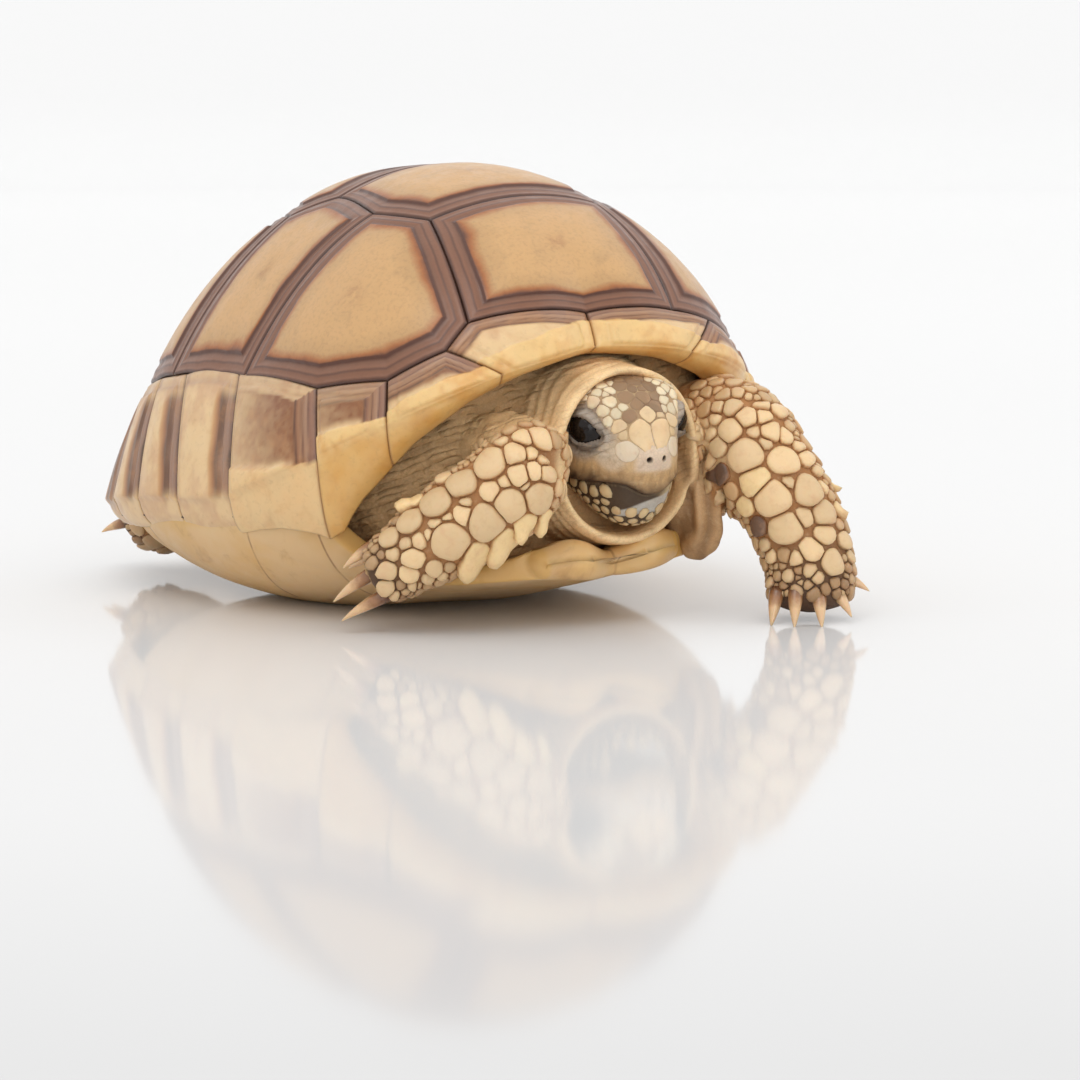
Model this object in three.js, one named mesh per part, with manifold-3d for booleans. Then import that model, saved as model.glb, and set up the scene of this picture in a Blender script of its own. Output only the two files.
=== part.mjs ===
// A young African spurred tortoise (sulcata), life size, as a still museum model.
// It rests on its belly plate with its head half drawn in. The right foreleg is folded
// across the front and the left one reaches forward onto the floor.
// Millimetres, +Z up. The head faces -Y and the animal's left side is +X.
// The origin is on the flat of the belly plate, at floor level.
import * as THREE from "three";
import { mergeVertices } from "three/addons/utils/BufferGeometryUtils.js";
import Module from "manifold-3d";

const wasm = await Module();
wasm.setup();

// ---------- driving dimensions ----------

const GAP = 0.3; // clearance between two nodes that touch
const WELD = 2e-3; // points closer than this are made one

// The upper shell is a dome. Each profile runs from the crown to the rim as one cubic curve.
// Values named front, side and rear are blended round the shell.
const SHELL = {
  length: 65,
  width: 60.3,
  height: 44.8,
  crownY: -2.5,
  squareness: 2.74,
  rearWidening: 0.077,
  notchDepth: 0.042,
  notchAngle: 0.14,
  rimHeight: { front: 27.6, side: 13.4, rear: 7.1 },
  flare: { front: 12.7, side: 12.1, rear: 26.8 },
  crownPull: { front: 0.65, side: 0.56, rear: 0.58 },
  rimPull: { front: 0.371, side: 0.437, rear: 0.425 },
  wall: 1.8,
  seat: 0.45, // the plates stand on a dome this far inside the outer surface
};
const TILT = { pitch: -0.8, roll: -3.2, lift: -0.7 }; // degrees, degrees, mm

// The rim turns under into a lip, which is deepest where it runs into the bridge.
const LIP = { width: { front: 2.4, side: 3.0, rear: 2.6 }, drop: { front: 1.7, side: 3.6, rear: 1.4 } };
const TOOTH = { front: 0.012, side: 0.0, rear: 0.03 };

// Scutes: each has a flat border, then a step down its growth rings to the pale middle plate.
// Steps are [share of the plate's size, height].
const SCUTE = { groove: 0.3, sink: 0.75, edge: 0.15, steps: [[0.8, 0.5], [0.68, 0.62]], crown: 0.8 };
const MARGINAL = { ...SCUTE, steps: [[0.7, 0.6]], crown: 0.66 };

// Seams of the scutes. A seam's place is an angle from the front and a share of the way
// from the crown to the rim, given as [degrees, share].
const RING_SEAMS = [
  [0, 0.84], [28.6, 0.83], [39.1, 0.857], [53.7, 0.8], [80.4, 0.706], [101.8, 0.709],
  [114, 0.715], [126, 0.725], [137, 0.735], [148, 0.745], [158, 0.75], [168.5, 0.75],
];
const RIM_SEAMS = [0, 19.5, 39.1, 52.1, 74.2, 92.1, 107, 120, 132, 144, 156, 168.5];
const COSTAL_FRONT = { right: [24.4, 0.76], left: [18.5, 0.82] };
const COSTAL_SEAMS = [77.5, 108, 131, 158]; // degrees, where costal seams reach the marginals
// Corners between vertebral and costal scutes, as sideways and lengthwise shares.
const CORNERS = [
  [0.188, -0.316], [0.242, -0.184], [0.225, 0.01], [0.272, 0.12], [0.2, 0.235], [0.225, 0.33], [0.13, 0.43],
];
const MARGINAL_EDGE = 0.985; // the marginals end this share of the way to the rim
const REAR_RING = [180, 0.75];
const SCALE_SIDES = 5;
const SCALE_ROOT = 0.9; // how deep a limb's scales are sunk
const ELBOW_RINGS = 4; // rings and sides of each length of a leg that has an elbow
const ELBOW_SIDES = 11;
const BELLY_STEP = 11;
const PLATE_STEP = 8.5; // longest side of a plate's facets, mm

// The belly plate and its bridges, in the shell's frame.
const BELLY = {
  frontY: -33.2,
  rearY: 27,
  gularWidth: 7.6,
  analWidth: 6.5,
  lobeFront: 18,
  lobeRear: 18.5,
  lobeLength: 15,
  bridgeFrontY: -19.5,
  bridgeRearY: 14,
  bridgeBlend: 2.2,
  bridgeInset: 1.3, // the bridge ends this far inside the rim
  bridgeBelow: 2.2, // and this far below it
  wingBend: 1.25,
  flatHalf: 9,
  low: -0.2,
  frontRise: 5.4,
  rearRise: 6.2,
  thickness: 1.8,
  forkDepth: 1.9,
  forkHalf: 2.6,
  seat: 0.4, // the plates stand on a slab this far inside the outer surface
};
// The front end is thickened into a pair of bumps.
const GULAR = { backY: -23, across: 4.4, spread: 4.2, height: 2.2 };
const BELLY_SCUTE = { groove: 0.28, sink: 0.45, edge: 0.2, steps: [], crown: 0.45 };
// Seams across the belly plate: gular, humeral, pectoral, abdominal, femoral and anal.
const BELLY_SEAMS = [-33.2, -24.5, -15.5, -9.5, 8.5, 17.5, 27];

// The body is an egg that fills the shell, cut off by a plane at the front and one at the rear.
const BODY = { frontY: -25.5, rearY: 23.5, middleZ: 18, halfWidth: 25.5, halfLength: 31, halfHeight: 27 };

// Places in the world: the middle of the collar, the nose and the limbs' joints.
const COLLAR = { x: 0.9, z: 16.7, halfWidth: 8.2, halfHeight: 8.9, socketY: -28.4 };
const HEAD = { nose: [0.8, -37.6, 15.7], yaw: -3.5, pitch: 20, roll: -3 };

const CLAW = { sunk: 1.1, arch: 0.3, sides: 6, rings: [[0, 0.9], [0.35, 1], [0.65, 0.72], [0.88, 0.36]] };

const radians = THREE.MathUtils.degToRad;
const degrees = THREE.MathUtils.radToDeg;
const { lerp, clamp, smoothstep } = THREE.MathUtils;
const vec = (x, y, z) => new THREE.Vector3(x, y, z);

// A seeded draw, so that every build gives the same scales.
let seed = 11;
function draw(low, high) {
  seed = (seed * 16807) % 2147483647;
  return low + ((high - low) * seed) / 2147483647;
}

// ---------- solids ----------

function solidFrom(points, faces) {
  const vertProperties = new Float32Array(points.length * 3);
  points.forEach((p, i) => p.toArray(vertProperties, i * 3));
  const build = (list) =>
    new wasm.Manifold(new wasm.Mesh({ numProp: 3, vertProperties, triVerts: new Uint32Array(list.flat()) }));
  const made = build(faces);
  return made.volume() < 0 ? build(faces.map(([a, b, c]) => [a, c, b])) : made;
}

function solidFromGeometry(geometry, weld = 1e-4) {
  const bare = geometry.index ? geometry.toNonIndexed() : geometry.clone();
  const only = new THREE.BufferGeometry().setAttribute("position", bare.getAttribute("position"));
  const merged = mergeVertices(only, weld);
  const corner = new THREE.Vector3();
  const points = [];
  for (let i = 0; i < merged.attributes.position.count; i++) {
    points.push(corner.fromBufferAttribute(merged.attributes.position, i).clone());
  }
  const faces = [];
  for (let i = 0; i < merged.index.count; i += 3) {
    const [a, b, c] = [0, 1, 2].map((k) => merged.index.getX(i + k));
    if (a !== b && b !== c && c !== a) faces.push([a, b, c]);
  }
  return solidFrom(points, faces);
}

// Joins rings of equally many points into a closed body. A ring of one point closes an end.
function skinRings(rings) {
  const points = [];
  const faces = [];
  const starts = rings.map((ring) => points.push(...ring) - ring.length);
  const closeEnd = (start, count, outward) => {
    const middle = vec(0, 0, 0);
    for (let i = 0; i < count; i++) middle.addScaledVector(points[start + i], 1 / count);
    const hub = points.push(middle) - 1;
    for (let i = 0; i < count; i++) {
      const next = (i + 1) % count;
      faces.push(outward ? [hub, start + i, start + next] : [hub, start + next, start + i]);
    }
  };
  for (let r = 0; r + 1 < rings.length; r++) {
    const [a, b] = [starts[r], starts[r + 1]];
    const [countA, countB] = [rings[r].length, rings[r + 1].length];
    for (let i = 0; i < Math.max(countA, countB); i++) {
      const j = (i + 1) % Math.max(countA, countB);
      if (countA > 1) faces.push([a + i, a + j, countB > 1 ? b + j : b]);
      if (countB > 1) faces.push([a + (countA > 1 ? i : 0), b + j, b + i]);
    }
  }
  if (rings[0].length > 1) closeEnd(starts[0], rings[0].length, false);
  const last = rings.length - 1;
  if (rings[last].length > 1) closeEnd(starts[last], rings[last].length, true);
  return solidFrom(points, faces);
}

const largest = (solid) =>
  solid.decompose().reduce((best, piece) => (piece.volume() > best.volume() ? piece : best));
const join = (list) => list.reduce((sum, piece) => sum.add(piece));
const cut = (solid, list) => list.reduce((rest, piece) => rest.subtract(piece), solid);
const moved = (solid, matrix) => solid.transform(matrix.elements);

function box(low, high) {
  const size = high.clone().sub(low);
  const middle = high.clone().add(low).multiplyScalar(0.5);
  return solidFromGeometry(new THREE.BoxGeometry(size.x, size.y, size.z).translate(middle.x, middle.y, middle.z));
}

function ellipsoid(centre, radii, around = 16, along = 12, matrix = null) {
  const geometry = new THREE.SphereGeometry(1, around, along).scale(radii.x, radii.y, radii.z);
  if (matrix) geometry.applyMatrix4(matrix);
  return solidFromGeometry(geometry.translate(centre.x, centre.y, centre.z));
}

const REACH = 80;
const half = {
  above: (z) => box(vec(-REACH, -REACH, z), vec(REACH, REACH, z + 2 * REACH)),
  below: (z) => box(vec(-REACH, -REACH, z - 2 * REACH), vec(REACH, REACH, z)),
  front: (y) => box(vec(-REACH, y - 2 * REACH, -REACH), vec(REACH, y, REACH)),
  behind: (y) => box(vec(-REACH, y, -REACH), vec(REACH, y + 2 * REACH, REACH)),
};

function geometryOf(solid) {
  const mesh = solid.getMesh();
  const position = new Float32Array(mesh.numVert * 3);
  for (let i = 0; i < mesh.numVert; i++) {
    position.set(mesh.vertProperties.subarray(i * mesh.numProp, i * mesh.numProp + 3), i * 3);
  }
  return new THREE.BufferGeometry()
    .setAttribute("position", new THREE.BufferAttribute(position, 3))
    .setIndex(new THREE.BufferAttribute(mesh.triVerts, 1));
}

// A named mesh of a solid's largest body, with points closer than the weld made one.
function nodeOf(name, solid, look) {
  const welded = largest(solidFromGeometry(geometryOf(largest(solid)), WELD));
  const geometry = geometryOf(welded);
  geometry.computeVertexNormals();
  const made = new THREE.Mesh(geometry, look);
  made.name = name;
  return made;
}

// ---------- materials ----------

const look = (color, roughness) => new THREE.MeshStandardMaterial({ color, roughness, metalness: 0 });
const LOOKS = {
  carapace: look(0x9c7350, 0.42),
  plastron: look(0xd9bd7c, 0.45),
  skin: look(0xb59a73, 0.7),
  scales: look(0xcfae7c, 0.55),
  head: look(0xa98f6b, 0.55),
  jaw: look(0xa79d90, 0.45),
  eye: look(0x0b0a09, 0.08),
  claw: look(0xb99b78, 0.35),
};

// ---------- the shell's shape ----------

// A value that blends from front to side to rear, for an angle measured from the front.
function around(value, angle) {
  const c = Math.cos(angle);
  const end = c > 0 ? value.front : value.rear;
  return value.side + (end - value.side) * c * c;
}

// The rim's teeth: each marginal's outer edge bulges between its seams.
function toothAt(angle) {
  const turn = degrees(angle);
  const after = RIM_SEAMS.findIndex((seam) => seam > turn);
  const low = after < 0 ? RIM_SEAMS[RIM_SEAMS.length - 1] : RIM_SEAMS[Math.max(after - 1, 0)];
  const high = after < 0 ? 360 - low : RIM_SEAMS[after];
  return around(TOOTH, angle) * (Math.sin((Math.PI * (turn - low)) / (high - low)) - 0.3);
}

// The rim point for an angle from the front, on the side of the sign given.
function rimPoint(angle, side) {
  const across = Math.max(Math.sin(angle), 1e-6);
  const back = -Math.cos(angle);
  const halfWidth = (SHELL.width / 2) * (1 + SHELL.rearWidening * back);
  const oval =
    (Math.abs(across / halfWidth) ** SHELL.squareness + Math.abs((2 * back) / SHELL.length) ** SHELL.squareness) **
    (-1 / SHELL.squareness);
  const notch = 1 - SHELL.notchDepth * Math.exp(-((angle / SHELL.notchAngle) ** 2));
  const reach = oval * notch * (1 + toothAt(angle));
  return vec(side * reach * across, reach * back, around(SHELL.rimHeight, angle));
}

// The point of the dome at the disk place (a, b). Both are 0 at the crown; b is -1 at the front rim.
function domePoint(a, b) {
  const share = Math.max(Math.hypot(a, b), 1e-6);
  const signed = Math.atan2(a, -b);
  const angle = Math.abs(signed);
  const rim = rimPoint(angle, signed < 0 ? -1 : 1);
  const crown = vec(0, SHELL.crownY, SHELL.height);
  const outward = vec(rim.x, rim.y - SHELL.crownY, 0);
  const flare = radians(around(SHELL.flare, angle));
  const pull = around(SHELL.rimPull, angle) * (SHELL.height - rim.z);
  const first = crown.clone().addScaledVector(outward, around(SHELL.crownPull, angle));
  const second = rim.clone().addScaledVector(outward.clone().normalize(), -Math.sin(flare) * pull);
  second.z += Math.cos(flare) * pull;
  const [s, t] = [1 - share, share];
  return crown
    .multiplyScalar(s * s * s)
    .addScaledVector(first, 3 * s * s * t)
    .addScaledVector(second, 3 * s * t * t)
    .addScaledVector(rim, t * t * t);
}

// The same point raised along the dome's normal.
function shellPoint(a, b, raise) {
  const step = 0.004;
  const alongA = domePoint(a + step, b).sub(domePoint(a - step, b));
  const alongB = domePoint(a, b + step).sub(domePoint(a, b - step));
  const normal = alongA.cross(alongB).normalize();
  const point = domePoint(a, b);
  const outward = point.clone().sub(vec(0, 0, SHELL.height / 3));
  if (normal.dot(outward) < 0) normal.negate();
  return point.addScaledVector(normal, raise);
}

const onDisk = ([turn, share], side) => [side * Math.sin(radians(turn)) * share, -Math.cos(radians(turn)) * share];

// The share at which the marginals begin, for an angle in degrees.
function ringShare(turn) {
  const seams = [...RING_SEAMS, REAR_RING];
  const after = clamp(seams.findIndex(([seam]) => seam > turn), 1, seams.length - 1);
  const [[lowTurn, lowShare], [highTurn, highShare]] = [seams[after - 1], seams[after]];
  return lerp(lowShare, highShare, clamp((turn - lowTurn) / (highTurn - lowTurn), 0, 1));
}

const angles = (count) => Array.from({ length: count }, (_, i) => -Math.PI + (2 * Math.PI * (i + 0.5)) / count);

function domeRing(share, raise, sectors) {
  return angles(sectors).map((t) => shellPoint(Math.sin(t) * share, -Math.cos(t) * share, raise));
}

// The lip's inner edge, below the rim and inside it.
function lipRing(sectors, extra) {
  return angles(sectors).map((signed) => {
    const angle = Math.abs(signed);
    const rim = rimPoint(angle, Math.sign(signed));
    const inward = vec(-rim.x, SHELL.crownY - rim.y, 0).normalize();
    rim.z -= around(LIP.drop, angle) + 3 * extra;
    return rim.addScaledVector(inward, around(LIP.width, angle) + extra);
  });
}

// The dome of the shell with a hollow inside, closed round its rim by the lip.
// With extra above 0 it is that much thicker all over, to cut the nodes that touch it.
function domeSolid(raise, extra, rings, sectors) {
  const depth = -(SHELL.wall + extra);
  const list = [[shellPoint(0, 0, raise)]];
  for (let i = 1; i <= rings; i++) list.push(domeRing(i / rings, raise, sectors));
  list.push(lipRing(sectors, extra));
  for (const share of [0.88, 0.66, 0.44, 0.22]) list.push(domeRing(share, depth, sectors));
  list.push([shellPoint(0, 0, depth)]);
  return skinRings(list);
}

// ---------- raised plates ----------

// One plate over a polygon of surface places, as rings from its sunk root to its crown.
function plate(outline, place, levels, longest) {
  const fine = [];
  outline.forEach((corner, i) => {
    const next = outline[(i + 1) % outline.length];
    const apart = place(corner[0], corner[1], 0).distanceTo(place(next[0], next[1], 0));
    const pieces = Math.max(1, Math.ceil(apart / longest));
    for (let k = 0; k < pieces; k++) fine.push([0, 1].map((axis) => lerp(corner[axis], next[axis], k / pieces)));
  });
  const hub = [0, 1].map((axis) => fine.reduce((sum, p) => sum + p[axis], 0) / fine.length);
  const centre = place(hub[0], hub[1], 0);
  const reach = fine.reduce((sum, p) => sum + place(p[0], p[1], 0).distanceTo(centre), 0) / fine.length;
  const inset = 1 - levels.groove / reach;
  const ring = (scale, raise) =>
    fine.map((p) => place(lerp(hub[0], p[0], scale), lerp(hub[1], p[1], scale), raise));
  return skinRings([
    [place(hub[0], hub[1], -levels.sink / 2)],
    ring(0.5, -levels.sink / 2),
    ring(inset, -levels.sink),
    ring(inset, levels.edge),
    ...levels.steps.map(([scale, raise]) => ring(scale, raise)),
    [place(hub[0], hub[1], levels.crown)],
  ]);
}

// The outlines of all scutes of the upper shell, in disk places.
function scuteOutlines() {
  const outlines = [];
  const corner = (i, side) => [side * CORNERS[i][0], CORNERS[i][1]];
  const onRing = (turn, side) => onDisk([turn, ringShare(turn)], side);
  const arc = (from, to, side, steps) =>
    Array.from({ length: steps + 1 }, (_, i) => onRing(lerp(from, to, i / steps), side));
  const both = (maker) => [...maker(-1, "right"), ...maker(1, "left").reverse()];
  const [first, second, third, last] = COSTAL_SEAMS;
  outlines.push(both((side, name) => [corner(0, side), onDisk(COSTAL_FRONT[name], side)]).toSpliced(2, 0, onRing(0, 1)));
  outlines.push(both((side) => [corner(2, side), corner(1, side), corner(0, side)]));
  outlines.push(both((side) => [corner(4, side), corner(3, side), corner(2, side)]));
  outlines.push(both((side) => [corner(6, side), corner(5, side), corner(4, side)]));
  outlines.push(both((side) => [onRing(168.5, side), onRing(last, side), corner(6, side)]));
  for (const [name, side] of [["right", -1], ["left", 1]]) {
    const front = onDisk(COSTAL_FRONT[name], side);
    const marginals = RING_SEAMS.slice(1, 4).map(([turn]) => onRing(turn, side)).reverse();
    outlines.push([corner(0, side), corner(1, side), onRing(first, side), ...marginals, front]);
    outlines.push([corner(1, side), corner(2, side), corner(3, side), ...arc(second, first, side, 3)]);
    outlines.push([corner(3, side), corner(4, side), corner(5, side), ...arc(third, second, side, 2)]);
    outlines.push([corner(5, side), corner(6, side), ...arc(last, third, side, 2)]);
  }
  return outlines;
}

function marginalOutlines() {
  const outlines = [];
  const onRim = (turn, side) => onDisk([turn, MARGINAL_EDGE], side);
  for (const [name, side] of [["right", -1], ["left", 1]]) {
    for (let i = 0; i + 1 < RING_SEAMS.length; i++) {
      const [low, high] = [RING_SEAMS[i], RING_SEAMS[i + 1]];
      const inner = i === 0 ? [onDisk(low, side), onDisk(COSTAL_FRONT[name], side)] : [onDisk(low, side)];
      const turns = [1, 0.5, 0].map((t) => lerp(RIM_SEAMS[i], RIM_SEAMS[i + 1], t));
      outlines.push([...inner, onDisk(high, side), ...turns.map((turn) => onRim(turn, side))]);
    }
  }
  const edge = RIM_SEAMS[RIM_SEAMS.length - 1];
  const ring = RING_SEAMS[RING_SEAMS.length - 1];
  outlines.push([onDisk(ring, -1), onRim(edge, -1), onRim(180, -1), onRim(edge, 1), onDisk(ring, 1)]);
  return outlines;
}

const tiltMatrix = new THREE.Matrix4()
  .makeRotationFromEuler(new THREE.Euler(radians(TILT.pitch), radians(TILT.roll), 0, "XYZ"))
  .setPosition(0, 0, TILT.lift);
const tilted = (solid) => moved(solid, tiltMatrix);

const seatPoint = (a, b, raise) => shellPoint(a, b, raise - SHELL.seat);
const carapace = tilted(
  join([
    domeSolid(-SHELL.seat, 0, 6, 30),
    ...scuteOutlines().map((outline) => plate(outline, seatPoint, SCUTE, PLATE_STEP)),
    ...marginalOutlines().map((outline) => plate(outline, seatPoint, MARGINAL, PLATE_STEP)),
  ]),
);
const carapaceCutter = tilted(domeSolid(0.6, GAP, 6, 30));

// ---------- the belly plate ----------

// The rim's point beside a place along the body, between the two ends of the bridge.
function rimBeside(y) {
  const there = clamp(y, BELLY.bridgeFrontY, BELLY.bridgeRearY);
  let [low, high] = [radians(40), radians(150)];
  for (let i = 0; i < 18; i++) {
    const middle = (low + high) / 2;
    if (rimPoint(middle, 1).y < there) low = middle;
    else high = middle;
  }
  return rimPoint(low, 1);
}

// The bridge's outer edge: its distance from the middle and its height.
function bridgeEdge(y) {
  const rim = rimBeside(y);
  return [rim.x - BELLY.bridgeInset, rim.z - BELLY.bridgeBelow];
}

// Half width of the belly plate at a place along the body.
function bellyHalfWidth(y) {
  const towardsFront = clamp((y - BELLY.frontY) / BELLY.lobeLength, 0, 1) ** 0.7;
  const towardsRear = clamp((BELLY.rearY - y) / BELLY.lobeLength, 0, 1) ** 0.6;
  const front = lerp(BELLY.gularWidth, BELLY.lobeFront, towardsFront);
  const rear = lerp(BELLY.analWidth, BELLY.lobeRear, towardsRear);
  const blend = BELLY.bridgeBlend;
  const bridge =
    smoothstep(y, BELLY.bridgeFrontY - blend, BELLY.bridgeFrontY + blend) *
    (1 - smoothstep(y, BELLY.bridgeRearY - blend, BELLY.bridgeRearY + blend));
  const lobe = y < 0 ? front : rear;
  return lerp(lobe, bridgeEdge(y)[0], bridge);
}

// The front edge is forked and the rear edge notched.
function bellyEnd(across, y) {
  const fork = BELLY.forkDepth * Math.exp(-(((across * BELLY.gularWidth) / BELLY.forkHalf) ** 2));
  const atFront = smoothstep(-y, -BELLY.frontY - 8, -BELLY.frontY);
  const atRear = smoothstep(y, BELLY.rearY - 8, BELLY.rearY);
  const round = 2.2 * across * across;
  return y + atFront * (fork + round) - atRear * (1.4 * fork + round);
}

// How far the belly plate's ends rise from its flat.
function bellyRise(y) {
  return BELLY.frontRise * smoothstep(-y, 6, 38) ** 1.2 + BELLY.rearRise * smoothstep(y, 4, 36);
}

// The belly plate's outer surface for a sideways share and a lengthwise place, raised along its
// normal. It is flat in the middle and turns up into the bridges in a quarter of an oval.
function bellyPoint(across, y, raise) {
  const [edgeX, edgeZ] = bridgeEdge(y);
  const bend = edgeX - BELLY.flatHalf;
  const halfWidth = bellyHalfWidth(y);
  const lastTurn = Math.asin(clamp((halfWidth - BELLY.flatHalf) / bend, 0, 1));
  const flatWidth = Math.min(halfWidth, BELLY.flatHalf);
  const flatShare = flatWidth / (flatWidth + bend * lastTurn);
  const share = Math.abs(across);
  const turn = (Math.max(0, share - flatShare) / Math.max(1 - flatShare, 1e-6)) * lastTurn;
  const x = flatWidth * Math.min(1, share / flatShare) + bend * Math.sin(turn);
  const wing = edgeZ * (1 - Math.cos(turn)) ** BELLY.wingBend;
  const steepness = edgeZ * BELLY.wingBend * (1 - Math.cos(turn)) ** (BELLY.wingBend - 1) * Math.sin(turn);
  const run = bend * Math.cos(turn);
  const slope = (bellyRise(y + 0.2) - bellyRise(y - 0.2)) / 0.4;
  const normal = vec(Math.sign(across) * steepness, slope * run, -run).normalize();
  const point = vec(Math.sign(across) * x, bellyEnd(across, y), BELLY.low + bellyRise(y) + wing);
  return point.addScaledVector(normal, raise);
}

function bellyThickness(x, y) {
  const bump = Math.exp(-(((Math.abs(x) - GULAR.across) / GULAR.spread) ** 2));
  return BELLY.thickness + GULAR.height * bump * smoothstep(-y, -GULAR.backY, -BELLY.frontY);
}

// A slab on the belly plate's form: from a height above its outer surface, or a depth below it
// where low is negative, to its inner surface. With extra above 0 it is that much larger.
function bellySolid(low, extra) {
  const [rows, columns] = [14, 12];
  const points = [];
  const sheet = (raise) =>
    Array.from({ length: rows + 1 }, (_, i) =>
      Array.from({ length: columns + 1 }, (_, j) => {
        const y = lerp(BELLY.frontY, BELLY.rearY, i / rows);
        const across = -1 + (2 * j) / columns;
        const point = bellyPoint(across, y, 0);
        const normal = bellyPoint(across, y, 1).sub(point);
        const inner = -bellyThickness(point.x, y) - extra;
        point.addScaledVector(normal, raise === null ? inner : raise);
        if (i === 0) point.y -= extra;
        if (i === rows) point.y += extra;
        if (j % columns === 0) point.add(vec(Math.sign(across) * -normal.z * extra, 0, Math.abs(normal.x) * extra));
        return points.push(point) - 1;
      }),
    );
  const [bottom, top] = [sheet(-low), sheet(null)];
  const faces = [];
  const quad = (a, b, c, d) => faces.push([a, b, c], [a, c, d]);
  for (let i = 0; i < rows; i++) {
    for (let j = 0; j < columns; j++) {
      quad(bottom[i][j], bottom[i + 1][j], bottom[i + 1][j + 1], bottom[i][j + 1]);
      quad(top[i][j], top[i][j + 1], top[i + 1][j + 1], top[i + 1][j]);
    }
    quad(bottom[i][0], top[i][0], top[i + 1][0], bottom[i + 1][0]);
    quad(bottom[i][columns], bottom[i + 1][columns], top[i + 1][columns], top[i][columns]);
  }
  for (let j = 0; j < columns; j++) {
    quad(bottom[0][j], bottom[0][j + 1], top[0][j + 1], top[0][j]);
    quad(bottom[rows][j], top[rows][j], top[rows][j + 1], bottom[rows][j + 1]);
  }
  return solidFrom(points, faces);
}

// Two rows of scutes, one each side of the middle seam.
function bellyOutlines() {
  const outlines = [];
  for (const side of [-1, 1]) {
    for (let i = 0; i + 1 < BELLY_SEAMS.length; i++) {
      const [front, rear] = [BELLY_SEAMS[i], BELLY_SEAMS[i + 1]];
      const slant = i === 0 ? -2.5 : 0;
      outlines.push([
        [0, front], [0, rear], [side * 0.5, rear + slant / 2], [side * 0.9, rear + slant],
        [side * 0.9, lerp(front, rear, 0.5)], [side * 0.9, front], [side * 0.5, front],
      ]);
    }
  }
  return outlines;
}

const bellySeatPoint = (across, y, raise) => bellyPoint(across, y, raise - BELLY.seat);
const plastron = cut(
  tilted(
    join([
      bellySolid(BELLY.seat, 0),
      ...bellyOutlines().map((outline) => plate(outline, bellySeatPoint, BELLY_SCUTE, BELLY_STEP)),
    ]),
  ).intersect(half.above(0)),
  [carapaceCutter],
);
// The belly plate a gap's width larger and open below, to cut what stands on it.
const plastronCutter = tilted(bellySolid(-6, 1.3 * GAP));

// ---------- the body inside the shell ----------

const torso = cut(
  ellipsoid(vec(0, 0, BODY.middleZ), vec(BODY.halfWidth, BODY.halfLength, BODY.halfHeight), 20, 10),
  [carapaceCutter, plastronCutter, half.front(BODY.frontY), half.behind(BODY.rearY)],
);

// ---------- limbs ----------

// A limb is a line of stations, each with its place and two radii, and a face direction.
// It is skinned by rings of points round the line.
class Limb {
  constructor(stations, face) {
    this.stations = stations;
    this.face = face.clone().normalize();
    this.line = new THREE.CatmullRomCurve3(stations.map((s) => vec(...s.at)), false, "centripetal");
    this.length = this.line.getLength();
  }

  // The two radii at a share of the way along.
  radii(t) {
    const place = clamp(t, 0, 1) * (this.stations.length - 1);
    const low = Math.min(Math.floor(place), this.stations.length - 2);
    const mix = smoothstep(place - low, 0, 1);
    const [a, b] = [this.stations[low], this.stations[low + 1]];
    return [lerp(a.wide, b.wide, mix), lerp(a.deep, b.deep, mix)];
  }

  // The surface point at a share t along and an angle in degrees from the face direction.
  point(t, angle, raise) {
    const centre = this.line.getPoint(clamp(t, 0, 1));
    const along = this.line.getTangent(clamp(t, 0, 1));
    const outward = this.face.clone().addScaledVector(along, -this.face.dot(along)).normalize();
    const sideways = along.clone().cross(outward);
    const [wide, deep] = this.radii(t);
    const [c, s] = [Math.cos(radians(angle)), Math.sin(radians(angle))];
    return centre.addScaledVector(outward, c * (deep + raise)).addScaledVector(sideways, s * (wide + raise));
  }

  solid(rings = 8, sides = 12, grow = 0) {
    const cap = (t, shares) =>
      shares.map((share) => {
        const [wide, deep] = this.radii(t);
        const centre = this.line.getPoint(t);
        const along = this.line.getTangent(t).multiplyScalar(t > 0.5 ? 1 : -1);
        const bulge = 0.55 * Math.min(wide, deep) + grow;
        return Array.from({ length: sides }, (_, i) =>
          this.point(t, (360 * i) / sides, grow).sub(centre).multiplyScalar(share).add(centre)
            .addScaledVector(along, bulge * Math.sqrt(1 - share * share)),
        );
      });
    const rows = [];
    for (let i = 0; i <= rings; i++) {
      rows.push(Array.from({ length: sides }, (_, k) => this.point(i / rings, (360 * k) / sides, grow)));
    }
    const list = [...cap(0, [0.35, 0.75]), ...rows, ...cap(1, [0.75, 0.35])];
    return skinRings(list);
  }

  // A scale: a low plate of few sides, raised on the limb, with its root sunk in.
  scale(t, angle, along, across, height) {
    const [wide, deep] = this.radii(t);
    const round = (360 / (2 * Math.PI)) / ((wide + deep) / 2);
    const turn = draw(-12, 12) + 30;
    const outline = Array.from({ length: SCALE_SIDES }, (_, i) => {
      const a = radians(turn + (360 * i) / SCALE_SIDES);
      const stretch = draw(0.9, 1.08);
      return [(Math.cos(a) * along * stretch) / this.length, Math.sin(a) * across * stretch * round];
    });
    const ring = (share, raise) => outline.map(([du, dv]) => this.point(t + du * share, angle + dv * share, raise));
    return skinRings([
      [this.point(t, angle, -SCALE_ROOT)],
      ring(1.05, -SCALE_ROOT / 4),
      ring(0.7, height),
      [this.point(t, angle, height * 1.15)],
    ]);
  }
}

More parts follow.
